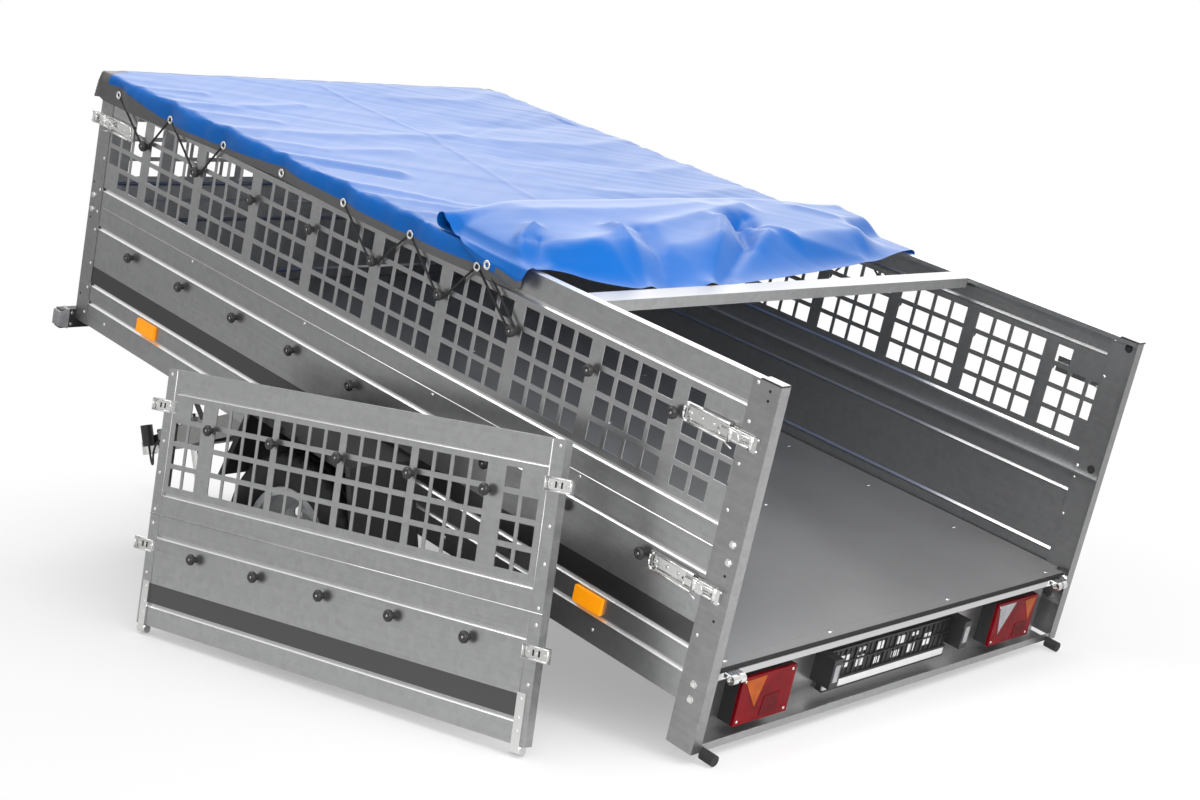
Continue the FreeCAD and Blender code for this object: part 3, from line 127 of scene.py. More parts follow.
def repeated(faces, count, corners):
    """One small grid's faces, numbered on for count grids of so many corners each."""
    return (faces[None] + np.arange(count)[:, None, None] * corners).reshape(-1, 4)


def surface(name, points, material, ring=False):
    """One object from a grid of points in the scene."""
    rows, columns = points.shape[:2]
    return mesh_object(name, points.reshape(-1, 3), grid_faces(rows, columns, ring), material)


def copies(name, grid, places, material, smooth=True):
    """The same small ring of points at many places, as one mesh."""
    rows, columns = grid.shape[:2]
    points = (places[:, None, None, :] + grid[None]).reshape(-1, 3)
    faces = repeated(grid_faces(rows, columns, ring=True), len(places), rows * columns)
    return mesh_object(name, points, faces, material, smooth)


def turned_profile(profile, steps=12):
    """Each (radius, height) pair swept round the third axis: (r cos a, r sin a, height).

    The profile runs from the top's middle outward and down, so that the faces look outward."""
    angle = np.linspace(0, 2 * math.pi, steps, endpoint=False)
    radius, height = np.asarray(profile, float).T
    return np.stack([radius[:, None] * np.cos(angle), radius[:, None] * np.sin(angle),
                     np.broadcast_to(height[:, None], (len(radius), steps))], -1)


# %% [markdown]
# Materials
#
# A finish is a small net of nodes. Patterns read Object coordinates, which are the scene's own
# metres here. For a pattern that follows the tipped bed, a Mapping node turns them into the
# bed's directions first. Image textures could do it too, but noise and cells have no seams and
# no resolution. Most of the helpers below add one node and give back its output.

# %% A short way to write node nets
def new_net(name):
    """A material with its node tree and its Principled shader."""
    material = bpy.data.materials.new(name)
    material.use_nodes = True
    tree = material.node_tree
    return material, tree, tree.nodes["Principled BSDF"]


def set_sockets(node, values):
    """Fixed values for a node's sockets, by name."""
    for label, value in values.items():
        node.inputs[label].default_value = value


def put(tree, source, socket):
    """What a socket takes: another node's output, or else a plain value."""
    if isinstance(source, bpy.types.NodeSocket):
        tree.links.new(source, socket)
    else:
        socket.default_value = source


def calc(tree, operation, first, second=0.0):
    """One Math node."""
    node = tree.nodes.new("ShaderNodeMath")
    node.operation = operation
    put(tree, first, node.inputs[0])
    put(tree, second, node.inputs[1])
    return node.outputs[0]


def span(tree, value, low, high, least=0.0, most=1.0, smooth=False):
    """A number that goes from least to most while the value goes from low to high."""
    node = tree.nodes.new("ShaderNodeMapRange")
    if smooth:
        node.interpolation_type = "SMOOTHSTEP"
    tree.links.new(value, node.inputs["Value"])
    set_sockets(node, {"From Min": low, "From Max": high, "To Min": least, "To Max": most})
    return node.outputs["Result"]


def measure(tree, operation, vector, fixed):
    """A direction's dot product with a fixed one, or a place's distance from a fixed one."""
    node = tree.nodes.new("ShaderNodeVectorMath")
    node.operation = operation
    node.inputs[1].default_value = fixed
    tree.links.new(vector, node.inputs[0])
    return node.outputs["Value"]


def blend(tree, share, first, second):
    """Two colours mixed."""
    node = tree.nodes.new("ShaderNodeMix")
    node.data_type = "RGBA"
    for label, source in (("Factor", share), ("A", first), ("B", second)):
        put(tree, source, node.inputs[label])
    return node.outputs["Result"]


# %% Patterns, bumps and plain finishes
def coordinates(tree, kind="Object"):
    """Where a point lies, or with "Normal" which way its face looks."""
    return tree.nodes.new("ShaderNodeTexCoord").outputs[kind]


def pattern(tree, kind, place, scale):
    """Noise or cells, with values round 0 to 1."""
    texture, output = {"noise": ("ShaderNodeTexNoise", "Fac"),
                       "cells": ("ShaderNodeTexVoronoi", "Color")}[kind]
    node = tree.nodes.new(texture)
    tree.links.new(place, node.inputs["Vector"])
    node.inputs["Scale"].default_value = scale
    return node.outputs[output]


def shade(tree, value, colour, amount):
    """A colour times a number that a pattern moves between 1 - amount and 1 + amount."""
    times = tree.nodes.new("ShaderNodeVectorMath")
    times.operation = "SCALE"
    times.inputs[0].default_value = colour
    tree.links.new(span(tree, value, 0, 1, 1 - amount, 1 + amount), times.inputs["Scale"])
    return times.outputs["Vector"]


def raise_surface(tree, shader, value, strength):
    """A bump of up to a millimetre."""
    bump = tree.nodes.new("ShaderNodeBump")
    set_sockets(bump, {"Strength": strength, "Distance": 0.001})
    tree.links.new(value, bump.inputs["Height"])
    tree.links.new(bump.outputs["Normal"], shader.inputs["Normal"])


def finish(name, colour, rough, metallic=0.0, bump=None, tint=None, specular=0.5):
    """A Principled finish; bump is (pattern, scale, strength), tint (pattern, scale, amount)."""
    material, tree, shader = new_net(name)
    set_sockets(shader, {"Base Color": (*colour, 1), "Roughness": rough, "Metallic": metallic,
                         "Specular IOR Level": specular})
    place = coordinates(tree)
    if tint:
        kind, scale, amount = tint
        shaded = shade(tree, pattern(tree, kind, place, scale), colour, amount)
        tree.links.new(shaded, shader.inputs["Base Color"])
    if bump:
        kind, scale, strength = bump
        raise_surface(tree, shader, pattern(tree, kind, place, scale), strength)
    return material


# %% [markdown]
# Galvanised sheet
#
# Zinc cools on the steel in flat crystals, each a slightly different grey, and the sheet is
# rolled, so it has faint lines along its length. Cells give the crystals, a stretched noise the
# lines. Slopes that look up, as on the beads and flanges, get a painted highlight: a pale grey
# is mixed in where the dot product of the face's normal with the frame's own up direction finds
# them. A dark printed band runs along each lower wall, and the same net mixes it in between two
# heights, on the outer face alone.

# %% Galvanised steel, with the walls' dark bands
BAND_GREY = (0.1, 0.1, 0.101, 1)


def turned_place(tree, where):
    """Object coordinates turned into a frame's own directions, in metres."""
    matrix, origin = where
    node = tree.nodes.new("ShaderNodeMapping")
    node.vector_type = "TEXTURE"
    set_sockets(node, {"Location": tuple(origin / 1000),
                       "Rotation": tuple(Matrix(matrix.tolist()).to_euler())})
    tree.links.new(coordinates(tree), node.inputs["Vector"])
    return node.outputs["Vector"]


def looks_up(tree, where, low, high, least=0.0, most=1.0):
    """A number that rises from least to most as a face turns to look up in a frame."""
    up = measure(tree, "DOT_PRODUCT", coordinates(tree, "Normal"), tuple(where[0][:, 2]))
    return span(tree, up, low, high, least, most)


def between(tree, value, low, high):
    """1 between two limits, else 0: above the low one times below the high one."""
    return calc(tree, "MULTIPLY", calc(tree, "GREATER_THAN", value, low),
                calc(tree, "LESS_THAN", value, high))


def band_place(tree, place, band):
    """1 inside the printed band: between its heights, on its face and along its length."""
    split = tree.nodes.new("ShaderNodeSeparateXYZ")
    tree.links.new(place, split.inputs[0])
    x, y, z = split.outputs
    inside = between(tree, z, *band[0])
    inside = calc(tree, "MULTIPLY", inside, between(tree, calc(tree, "ABSOLUTE", y), *band[1]))
    return calc(tree, "MULTIPLY", inside, between(tree, x, *band[2]))


def zinc(name, colour, where, rough=0.3, band=None, painted_highlight=0.92):
    """Galvanised sheet; band gives its limits in Z, in the Y of its face and in X, in metres."""
    material, tree, shader = new_net(name)
    set_sockets(shader, {"Metallic": 0.9, "Roughness": rough})
    place = turned_place(tree, where)
    stretch = tree.nodes.new("ShaderNodeMapping")
    stretch.inputs["Scale"].default_value = (0.6, 30.0, 30.0)
    tree.links.new(place, stretch.inputs["Vector"])
    lines = pattern(tree, "noise", stretch.outputs["Vector"], 4.0)
    grey = tree.nodes.new("ShaderNodeMix")
    grey.inputs["Factor"].default_value = 0.6
    tree.links.new(pattern(tree, "cells", place, 55.0), grey.inputs["A"])
    tree.links.new(lines, grey.inputs["B"])
    sheet = shade(tree, grey.outputs["Result"], colour, 0.16)
    # Faces that look up get a pale grey mixed into their colour: a painted highlight.
    sheet = blend(tree, looks_up(tree, where, 0.3, 0.6), sheet, (painted_highlight, painted_highlight, painted_highlight, 1))
    if band:
        sheet = blend(tree, band_place(tree, place, band), sheet, BAND_GREY)
    tree.links.new(sheet, shader.inputs["Base Color"])
    raise_surface(tree, shader, lines, 0.12)
    return material


def dress(material, *names):
    """Give CAD nodes a finish."""
    for name in names:
        slots = NODES[name].data.materials
        slots.clear()
        slots.append(material)


band_foot, band_head = (FLOOR_UP + 34.7) / 1000, (FLOOR_UP + 92.6) / 1000
wall_band = ((band_foot, band_head), (0.7765, 0.78), (-3, 3))
gate_band = ((0.062, 0.1145), (-0.001, 0.001), (-0.682, 0.682))
ZINC = (0.38, 0.382, 0.385)
dress(zinc("galvanised_wall", ZINC, BED, band=wall_band), "side_wall_left", "side_wall_right")
sheet_metal = zinc("galvanised_sheet", ZINC, BED)
dress(sheet_metal, "mesh_side_left", "mesh_side_right", "front_wall", "mesh_front")
dress(zinc("galvanised_bars", ZINC, BED, painted_highlight=0.55), "rear_sill", "crossbar")
post_metal = zinc("galvanised_posts", (0.30, 0.30, 0.303), BED, rough=0.36, painted_highlight=0.62)
dress(post_metal, "front_posts", "rear_post_left", "rear_post_right")
dress(zinc("galvanised_gate", ZINC, GATE, band=gate_band), "gate_panel")
gate_metal = zinc("galvanised_gate_mesh", ZINC, GATE)
dress(gate_metal, "gate_mesh")
frame_metal = zinc("galvanised_frame", (0.27, 0.27, 0.265), DRAWBAR, rough=0.55, painted_highlight=0.42)
dress(frame_metal, "cross_members", "chassis_members", "tip_lugs", "axle_beam", "drawbar_arms",
      "drawbar_plates")
print("printed band on the walls, mm over the floor:",
      [round(1000 * z - FLOOR_UP, 1) for z in wall_band[0]])

# %% [markdown]
# Plating, plastic and rubber
#
# The latches and hooks are zinc plated: brighter and smoother than the sheet. Moulded plastic is
# nearly black with a fine grain, and rubber is duller still. Each is one call, so that the whole
# list of finishes can be read and weighed against each other at a glance. The orange reflectors
# throw light back at whoever looks, which a little emission stands for.

# %% Small parts' finishes
bright = finish("bright_zinc", (0.70, 0.70, 0.69), 0.2, 1.0, bump=("noise", 60.0, 0.25))
black = finish("black_plastic", (0.018, 0.018, 0.019), 0.45, bump=("noise", 700.0, 0.2))
rubber = finish("black_rubber", (0.016, 0.016, 0.017), 0.7, bump=("noise", 400.0, 0.3))
orange = finish("orange_reflector", (1.0, 0.34, 0.004), 0.35, bump=("cells", 250.0, 0.5),
                tint=("noise", 60.0, 0.15), specular=0.3)
red = finish("red_lens", (0.16, 0.0006, 0.004), 0.32, bump=("cells", 160.0, 0.9),
             tint=("noise", 22.0, 0.7), specular=0.1)
paint = finish("silver_paint", (0.70, 0.71, 0.72), 0.35, 0.3, bump=("noise", 500.0, 0.05))
board = finish("film_faced_floor", (0.175, 0.175, 0.177), 0.34, bump=("cells", 160.0, 0.2),
               tint=("noise", 3.0, 0.3), specular=1.0)
dress(bright, "latches", "gate_fittings", "gate_sockets", "coupling_head", "prop_stand")
dress(black, "rear_lamps", "plate_holder", "tarp_knobs", "gate_knobs", "marker_lamps",
      "mudguard_left", "mudguard_right", "coupling_handle", "clamp_lever", "tow_plug")
dress(rubber, "buffers")
set_sockets(orange.node_tree.nodes["Principled BSDF"],
            {"Emission Color": (1.0, 0.33, 0.0, 1), "Emission Strength": 0.35})
dress(orange, "side_reflectors")
dress(red, "lamp_lenses")
dress(paint, "rim_left", "rim_right")
dress(board, "floor_board")
print("finishes:", len(bpy.data.materials))

# %% [markdown]
# The tarp, one sheet from the front hem to the turned-back end
#
# Each row of the grid is a station along the cloth: up the front hem, back over the bed, down
# into a fold, forward again, round the loop of the second fold and back to the free rear edge.
# Each column is a place across it, from the left hem's edge over the top to the right one's.
# Curves taken along the bed say where the seam and the hem's edge lie, and a list of ridges puts
# the creases where they run, all in millimetres. A cloth simulation would fold it too, but not
# where the real folds are, and a small change would move every one of them.

# %% Curves and ridges of the cloth
TOP_COLUMNS, HEM_FACES = 171, 5
COVER_STATIONS, FLAP_STATIONS = 118, 74
EDGE = 784.0
TOP = 684.5
ALONG = (0, 123, 364, 633, 911, 1194, 1445, 1688, 1860)
EYELETS = (93, 370, 639, 913, 1187, 1463, 1721)
SEAM = (655, 657, 626, 630, 651, 638, 632, 640, 642)
HEM = (598, 597, 603, 613, 619, 610, 608, 613, 619)


def ease(value):
    """0 below 0, 1 above 1 and a smooth rise between."""
    t = np.clip(value, 0, 1)
    return t * t * (3 - 2 * t)


def ridge(x, y, line, height, width):
    """A crease that stands up (or sinks) along a chain of straight runs.

    Its height falls off as exp(-(distance / width) ** 1.5) from the nearest run."""
    near = np.full(np.broadcast(x, y).shape, np.inf)
    for (x0, y0), (x1, y1) in zip(line, line[1:]):
        long = (x1 - x0) ** 2 + (y1 - y0) ** 2
        t = np.clip(((x - x0) * (x1 - x0) + (y - y0) * (y1 - y0)) / long, 0, 1)
        near = np.minimum(near, np.hypot(x - x0 - t * (x1 - x0), y - y0 - t * (y1 - y0)))
    return height * np.exp(-(near / width) ** 1.5)


COVER_CREASES = (
    (((60, -30), (629, -48), (1300, -220)), 2.5, 9), (((650, -790), (690, -500), (640, 80)), 6, 34),
    (((915, -790), (1010, -640), (1080, -520)), 8, 24), (((960, -790), (1120, -560)), -5, 20),
    (((1180, -790), (1290, -650), (1385, -566), (1480, -300)), 7, 26),
    (((1300, -790), (1420, -600), (1500, -420)), 6, 22), (((1440, -790), (1500, -650)), 7, 18),
    (((380, -790), (400, -600), (330, -300)), 6, 26), (((470, -790), (560, -560)), 5, 22),
    (((760, -790), (860, -600), (840, -300)), 5, 26), (((200, -790), (240, -600)), 6, 20),
    (((60, 740), (200, 500), (180, 200)), 5, 40), (((420, 780), (520, 500), (500, 250)), -7, 60),
    (((700, 790), (760, 520), (700, 200)), 6, 45), (((1000, 790), (1060, 480)), 5, 40),
    (((1250, 790), (1300, 420), (1250, 120)), 6, 45), (((880, 60), (940, 420)), -5, 60),
)
FLAP_CREASES = (
    (((2050, -520), (1933, -477), (1800, -430)), 14, 24),
    (((2050, -450), (1942, -384), (1807, -329)), -18, 30),
    (((2050, -300), (1988, -224), (1780, 20)), 22, 36),
    (((2040, -240), (1900, 0), (1747, 140)), -28, 30),
    (((2050, -230), (1987, -115), (1860, 130)), 12, 24),
    (((1747, 99), (1715, 201), (1805, 148)), -12, 18),
    (((1866, -790), (1798, -740), (1751, -655)), 12, 18), (((1917, -780), (1884, -677)), 9, 16),
    (((1890, -770), (1820, -690)), -9, 14),
    (((1940, -740), (1928, -694), (1825, -379), (1718, 9), (1640, 260)), 12, 44),
    (((1640, 520), (1720, 629), (1880, 562)), 7, 34),
    (((1783, 128), (1890, 239), (1920, 489)), 12, 32),
    (((1650, -560), (1660, -200), (1620, 100)), 8, 60),
)


def uneven(along, spacing, seed):
    """Smooth ups and downs between -1 and 1: a drawn value at every spacing, eased between."""
    drawn = np.random.default_rng(seed).uniform(-1, 1, 512)
    at = np.asarray(along, float) / spacing + 200
    low = np.floor(at).astype(int)
    share = ease(at - low)
    return drawn[low % len(drawn)] * (1 - share) + drawn[(low + 1) % len(drawn)] * share


def wrinkles(x, y):
    """Three slanted trains of drawn waves, times a pull that fades 80 mm from the wall."""
    pull = 0.45 + 0.6 * np.exp(-(EDGE - np.abs(y)).clip(0) / 80)
    wave = uneven(x + 0.5 * np.abs(y), 36, 11) + 0.8 * uneven(x - 0.7 * np.abs(y), 24, 12)
    wave += 1.4 * uneven(x + 0.25 * y, 110, 13) * uneven(y, 160, 14)
    return 1.9 * pull * wave


def creases(x, y, table):
    """All the ridges of a table, added up."""
    return sum(ridge(x, y, line, height, width) for line, height, width in table)


# %% [markdown]
# Stations of the cover
#
# DROP says how far a column hangs down its wall: 0 on the top, 1 at the seam where the grey hem
# is sewn on, 2 at the hem's edge. Each eyelet's cord pulls the cloth flat against the wall, and
# between two of them it bulges. A function that gives one station at a time keeps the hem, the
# top and the folds a few lines each.

# %% Stations of the tarp
HEM_STEPS = np.concatenate([np.linspace(2, 1, HEM_FACES + 1)[:-1], np.linspace(1, 0, 9)[:-1]])
HEM_COLUMNS = len(HEM_STEPS)
ACROSS = np.concatenate([np.full(HEM_COLUMNS, -EDGE), np.linspace(-EDGE, EDGE, TOP_COLUMNS),
                         np.full(HEM_COLUMNS, EDGE)])
DROP = np.concatenate([HEM_STEPS, np.zeros(TOP_COLUMNS), HEM_STEPS[::-1]])
SIDE = np.sign(ACROSS)
HANGS = DROP > 0


def hang(x, low_seam, low_hem, drop, out=0.0):
    """Cloth outside a wall: drop is 0 at the edge, 1 at the seam, 2 at the hem's edge.

    It bulges, less by exp(-(distance / 42) ** 2) near each eyelet, whose cord pulls it flat."""
    heights = (TOP, TOP - 4, TOP - 12, max(low_seam + 7, 655), low_seam, low_hem)
    full = 0.75 + 0.22 * uneven(x, 68, 24) + 0.12 * uneven(x, 23, 25)
    pulled = max(math.exp(-((x - hole) / 42) ** 2) for hole in EYELETS)
    bulge = np.interp(drop, (0, 0.25, 0.5, 0.8, 1, 1.5, 2), (0, 8, 14, 18, 16, 8, 4)) * full
    bulge = bulge * (1 - pulled * drop.clip(0, 1))
    z = np.interp(drop, (0, 0.25, 0.5, 0.8, 1, 2), heights)
    return EDGE + 1 + out + bulge, z + 3 * uneven(x, 17, 26) * (drop > 0) * (drop < 1)


def cover_row(x, lift=0.0):
    """One station of the cloth over the bed: it sags in the middle and rests on the walls."""
    sag = -9 * np.cos(math.pi * ACROSS / EDGE / 2) ** 2 * ease(x / 300)
    top = TOP + lift + sag + creases(x, ACROSS, COVER_CREASES) + wrinkles(x, ACROSS)
    rests = np.maximum(ease((60 - x) / 40), ease((np.abs(ACROSS) - 720) / 30))
    top = np.maximum(top, TOP + lift - 1 - 12 * (1 - rests))
    side_y, side_z = hang(x, np.interp(x, ALONG, SEAM), np.interp(x, ALONG, HEM), DROP, lift / 3)
    y = np.where(HANGS, SIDE * side_y, ACROSS)
    z = np.where(HANGS, side_z + lift, top)
    return np.stack([np.full(len(y), float(x)), y, z], -1)


def front_row(drop):
    """The front hem; at the corners the spare cloth stands out as a pleat."""
    top = cover_row(0.0)[:, 2]
    low = np.interp(drop, (0, 1, 2), (TOP, 652, 604))
    side_low = np.interp(DROP, (0, 1, 2), (TOP, 652, 604))
    pleat = np.minimum(DROP, drop) * 15
    x = -6 - 2 * math.sin(drop * 1.6) - pleat * 0.2 - 2 * uneven(ACROSS, 60, 27) * (drop > 0)
    y = np.where(HANGS, SIDE * (EDGE + 5 + pleat * 0.5), ACROSS)
    z = np.where(HANGS, np.minimum(low, side_low), np.minimum(top, low) if drop > 0 else top)
    return np.stack([x, y, z], -1)


print("columns:", len(ACROSS), "middle's height:", cover_row(900)[len(ACROSS) // 2, 2].round(1))


# %% [markdown]
# The turned-back end
#
# Its rear end is thrown forward over itself and back again, so three layers lie on each other.
# The loop of the second fold stands open, and the top layer swells off it, level in the middle
# and rounded at the left wall, before it drops at the free edge.

# %% Stations of the folded end
FOLD_BACK = 1862.0
FRONT_FOLD = 1577 - 85 * ease((ACROSS + EDGE) / 300) + 60 * ease((ACROSS - 300) / 480)
REAR_EDGE = np.interp(ACROSS, (-784, -707, -640, -544, -430, -313, 34, 496, 754, 784),
                      (1903, 1918, 1975, 2044, 2055, 2056, 2012, 1941, 1893, 1890))
LOOP = 18 - 5 * ease((ACROSS + EDGE) / 200)
LOW_ALONG = (1560, 1600, 1635, 1688, 1750, 1824, 1883, 1903)
LOW_EDGE = (740, 706, 690, 664, 645, 638, 622, 634)


def folded(x, z, out):
    """A turned-back station: over the walls its ends fall to LOW_EDGE, as drop ** 0.85."""
    edge_z = np.where(ACROSS < 0, z[HEM_COLUMNS], z[-HEM_COLUMNS - 1])
    low = np.minimum(np.interp(x, LOW_ALONG, LOW_EDGE) + out, edge_z - 1.5)
    swell = np.interp(DROP, (0, 0.25, 1, 2), (0, 7, 17, 15)) + 2 * uneven(x, 30, 31) * DROP
    swell = swell * ease((edge_z - low) / 30 + 0.3)
    y = np.where(HANGS, SIDE * (EDGE + 2 + out + swell), ACROSS)
    fall = (DROP / 2) ** 0.85
    return np.stack([x, y, np.where(HANGS, edge_z + (low - edge_z) * fall, z)], -1)


def flap_row(share):
    """A station of the upper layer, from the loop (0) to the rear edge (1).

    Across, it is a quarter of an ellipse over the left wall, then level. Along, it rises off
    the loop, lies, and drops at the rear edge."""
    x = FRONT_FOLD + share * (REAR_EDGE - FRONT_FOLD)
    from_left = np.clip((ACROSS + EDGE) / 210, 0, 1)
    puff = 58 * np.sqrt(1 - (1 - from_left) ** 2) * (1 - 0.3 * ease((ACROSS - 420) / 360))
    puff = puff * (1 - ease((ACROSS - 560) / 170) * ease((share - 0.4) / 0.25))
    rise = math.sin(math.pi / 2 * min(share / 0.2, 1))
    fall = 1 - 0.25 * share ** 2 - 1.05 * ease((share - 0.72) / 0.28)
    left = (2 * LOOP + 4) * (1 - ease(share / 0.2))
    inner = ease((EDGE - np.abs(ACROSS)) / 60)
    shape = creases(x, ACROSS, FLAP_CREASES) * (0.5 + 0.6 * max(fall, 0)) * 1.25
    shape = (shape + wrinkles(x, ACROSS) * 0.4) * inner * ease(share / 0.12)
    z = TOP + 6 + left + puff * rise * fall + shape
    lowest = TOP + 2 - 26 * ease((735 - np.abs(ACROSS)) / 40) * ease((share - 0.7) / 0.2)
    return folded(x, np.maximum(z, lowest), 8)


rows = [front_row(drop) for drop in np.concatenate([HEM_STEPS, [0.0]])]
rows += [cover_row(x) for x in np.linspace(14, FOLD_BACK, COVER_STATIONS)]
rows += [cover_row(x, lift) for x, lift in ((FOLD_BACK + 3, 3), (FOLD_BACK, 6))]
flat_top = cover_row(1600.0)[:, 2]
for share in np.linspace(0.06, 1, 12):
    x = FOLD_BACK + share * (FRONT_FOLD - FOLD_BACK)
    rows.append(folded(x, np.minimum(flat_top, TOP) + 6 - 16 * ease((735 - np.abs(ACROSS)) / 40)
                       * ease((x - 1800) / 60), 5))
for angle in np.linspace(0.2, 0.8, 7) * math.pi:
    x = FRONT_FOLD - LOOP * math.sin(angle)
    rows.append(folded(x, TOP + 6 + (LOOP + 2) * (1 - math.cos(angle)), 6.5))
rows += [flap_row(share) for share in np.linspace(0.0, 1, FLAP_STATIONS)]
cloth_grid = np.stack(rows)
print("tarp grid", cloth_grid.shape)

# %% [markdown]
# Coated cloth
#
# The tarp is woven from plastic tape and coated, so it shines softly. Seen along its top it is
# pale, and where it hangs steep it is a deep blue. A coat whose weight is painted on, strong only
# on faces that look up, gives that: a painted sheen, with a little even sheen for the fine nap.
# Faces of the hems take a second, grey slot of the same mesh, so the cloth stays one sheet.

# %% Tarp surface and cloth finishes
def cloth(name, colour, rough, film):
    """Coated fabric: a fine weave under a satin coat, strong as a painted sheen where it looks up.
    """
    material, tree, shader = new_net(name)
    set_sockets(shader, {"Roughness": rough, "Specular IOR Level": 0.2, "Coat Roughness": 0.4,
                         "Coat IOR": 1.42, "Sheen Weight": 0.4 * film, "Sheen Roughness": 0.2})
    # The coat's weight rises as a face turns to look up: a painted sheen.
    painted_sheen = looks_up(tree, BED, 0.75, 0.99, 0.05 * film, film)
    tree.links.new(painted_sheen, shader.inputs["Coat Weight"])
    place = turned_place(tree, BED)
    dyed = shade(tree, pattern(tree, "noise", place, 5.0), colour, 0.1)
    tree.links.new(dyed, shader.inputs["Base Color"])
    raise_surface(tree, shader, pattern(tree, "noise", place, 900.0), 0.12)
    return material


blue_cloth = cloth("blue_cloth", (0.0, 0.115, 0.45), 0.45, 1.0)
grey_cloth = cloth("grey_cloth", (0.115, 0.115, 0.115), 0.4, 0.3)
tarp_mesh = surface("tarp_sheet", bed(cloth_grid), blue_cloth)
tarp_mesh.data.materials.append(grey_cloth)
stations, columns = cloth_grid.shape[:2]
face_row = np.arange(stations - 1)[:, None] + 0.5
face_column = np.arange(columns - 1)[None, :]
along, across = cloth_grid[:-1, :-1, 0], np.abs(cloth_grid[:-1, :-1, 1])
cover_rows = face_row < HEM_COLUMNS + 1 + COVER_STATIONS
side_hem = (face_column < HEM_FACES) | (face_column > columns - 2 - HEM_FACES)
front_hem = face_row < HEM_FACES
corner = (along + 0.5 * (EDGE - across) < 30) & (across > 690)
tip = (face_row > stations - FLAP_STATIONS - 2) & (along > 1805)
tip = tip & (DROP[:-1] > 1.2) & (ACROSS[:-1] < 0)
is_grey = (((side_hem | corner) & cover_rows) | front_hem | tip).astype(int)
tarp_mesh.data.polygons.foreach_set("material_index", is_grey.ravel().tolist())
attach(tarp_mesh, "bed")
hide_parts("tarp")
area = sum(face.area for face in tarp_mesh.data.polygons)
middle_line, one_station = cloth_grid[:, columns // 2], cloth_grid[COVER_STATIONS // 2]
long, wide = (np.linalg.norm(np.diff(line, axis=0), axis=1).sum() / 1000
              for line in (middle_line, one_station))
print("tarp area", round(area, 3), "long", round(float(long), 3), "wide", round(float(wide), 3))

# %% [markdown]
# Tyres
#
# A tyre is its section swept round the axle: one grid, section by angle. The grooves that run
# round the tread are in the section, and the cross cuts are places where the shoulder's radius
# drops for a few steps of the angle. Cutting each groove with a Boolean would be slow and leave
# ragged faces; here the pattern is only a rule on the numbers.

# %% Tyres with grooves and shoulder cuts
TYRE_RUBBER = finish("tyre_rubber", (0.014, 0.014, 0.015), 0.62, bump=("noise", 260.0, 0.3))
SECTION = [(-66, 183), (-70, 188), (-73, 200), (-77, 218), (-77.5, 232), (-76, 244), (-73, 254),
           (-68.5, 262), (-63, 266.5), (-58, 269.5), (-53, 271.2)]
for groove in (-30, 0, 30):
    SECTION += [(groove - 4.5, 273.5 - abs(groove) / 40), (groove - 4, 273.3 - abs(groove) / 40),
                (groove - 3, 267), (groove + 3, 267), (groove + 4, 273.3 - abs(groove) / 40),
                (groove + 4.5, 273.5 - abs(groove) / 40)]
SECTION += [(-y, r) for y, r in SECTION[:11]][::-1]
SECTION = np.array(SECTION, float)
ANGLE_STEPS, HALF_TRACK = 336, 892


def tyre(name, side):
    """A tyre: its section at every angle, (r cos a, y, r sin a), with cuts in the shoulders."""
    angle = np.linspace(0, 2 * math.pi, ANGLE_STEPS, endpoint=False)
    y, radius = SECTION[:, 0:1], SECTION[:, 1:2] + 0 * angle
    step = np.arange(ANGLE_STEPS)
    slot = ((step % 6) < 2)[None, :] & (np.abs(y) > 38) & (SECTION[:, 1:2] > 262)
    notch = (((step + 3) % 12) < 2)[None, :] & (np.abs(y) < 38) & (SECTION[:, 1:2] > 270)
    radius = radius - 3.2 * slot - 2.4 * notch
    points = np.stack([radius * np.cos(angle), np.broadcast_to(y, radius.shape) + side * HALF_TRACK,
                       radius * np.sin(angle)], -1)
    return surface(name, seat(points, WHEELS), TYRE_RUBBER, ring=True)


for side, word in SIDES:
    ring = tyre(f"tyre_{word}_tread", side)
    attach(ring, f"wheel_{word}")
    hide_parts(f"tyre_{word}")
print("faces of a tyre:", len(ring.data.polygons))

# %% [markdown]
# Bolts, rivets and screws
#
# One small head, turned or six-sided, is worked out once round its own axis and copied to every
# place that a list names. A list's places lie in one of the frames, and an axis says which way
# the heads point there. All heads of one kind on one face make a single mesh, which is lighter
# than an object each. Wires and rolled edges are short tubes, one stretched along each run.

# %% Fasteners
RIVET = turned_profile([(0.2, 2.4), (2.6, 2.0), (4.0, 1.0), (4.6, 0)], 10)
SCREW = turned_profile([(0.2, 1.8), (4.6, 1.6), (6.0, 0.9), (6.4, 0)], 12)
HEX = turned_profile([(0.2, 6.2), (6.0, 6.2), (7.4, 5.2), (7.4, 1.2), (10.0, 1.2), (10.0, 0)], 6)
HOLE = turned_profile([(0.2, 0.5), (3.4, 0.5), (3.6, 0.1)], 10)
# Holes are flat black discs and the keepers' slots black bars: painted shade for their dark
# insides.
dark = finish("painted_shade_black", (0.01, 0.01, 0.01), 0.9, tint=("noise", 50.0, 0.2))


def pointing(grid, way, where):
    """A head's grid turned from its own axis to a direction in a frame, in metres."""
    way = np.asarray(way, float)
    first = np.cross(way, (0, 0, 1) if abs(way[2]) < 0.9 else (1, 0, 0))
    first /= np.linalg.norm(first)
    basis = np.stack([first, np.cross(way, first), way])
    return (grid @ basis) @ where[0].T / 1000


def placed(places, where):
    """Places in the scene; those on the bed are measured from its front, middle and floor."""
    return bed(places) if where is BED else seat(places, where)


def heads(name, grid, places, way, where, material, body, smooth=True):
    """Fasteners of one kind on one face."""
    piece = copies(name, pointing(grid, way, where), placed(places, where), material, smooth)
    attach(piece, body)
    return piece


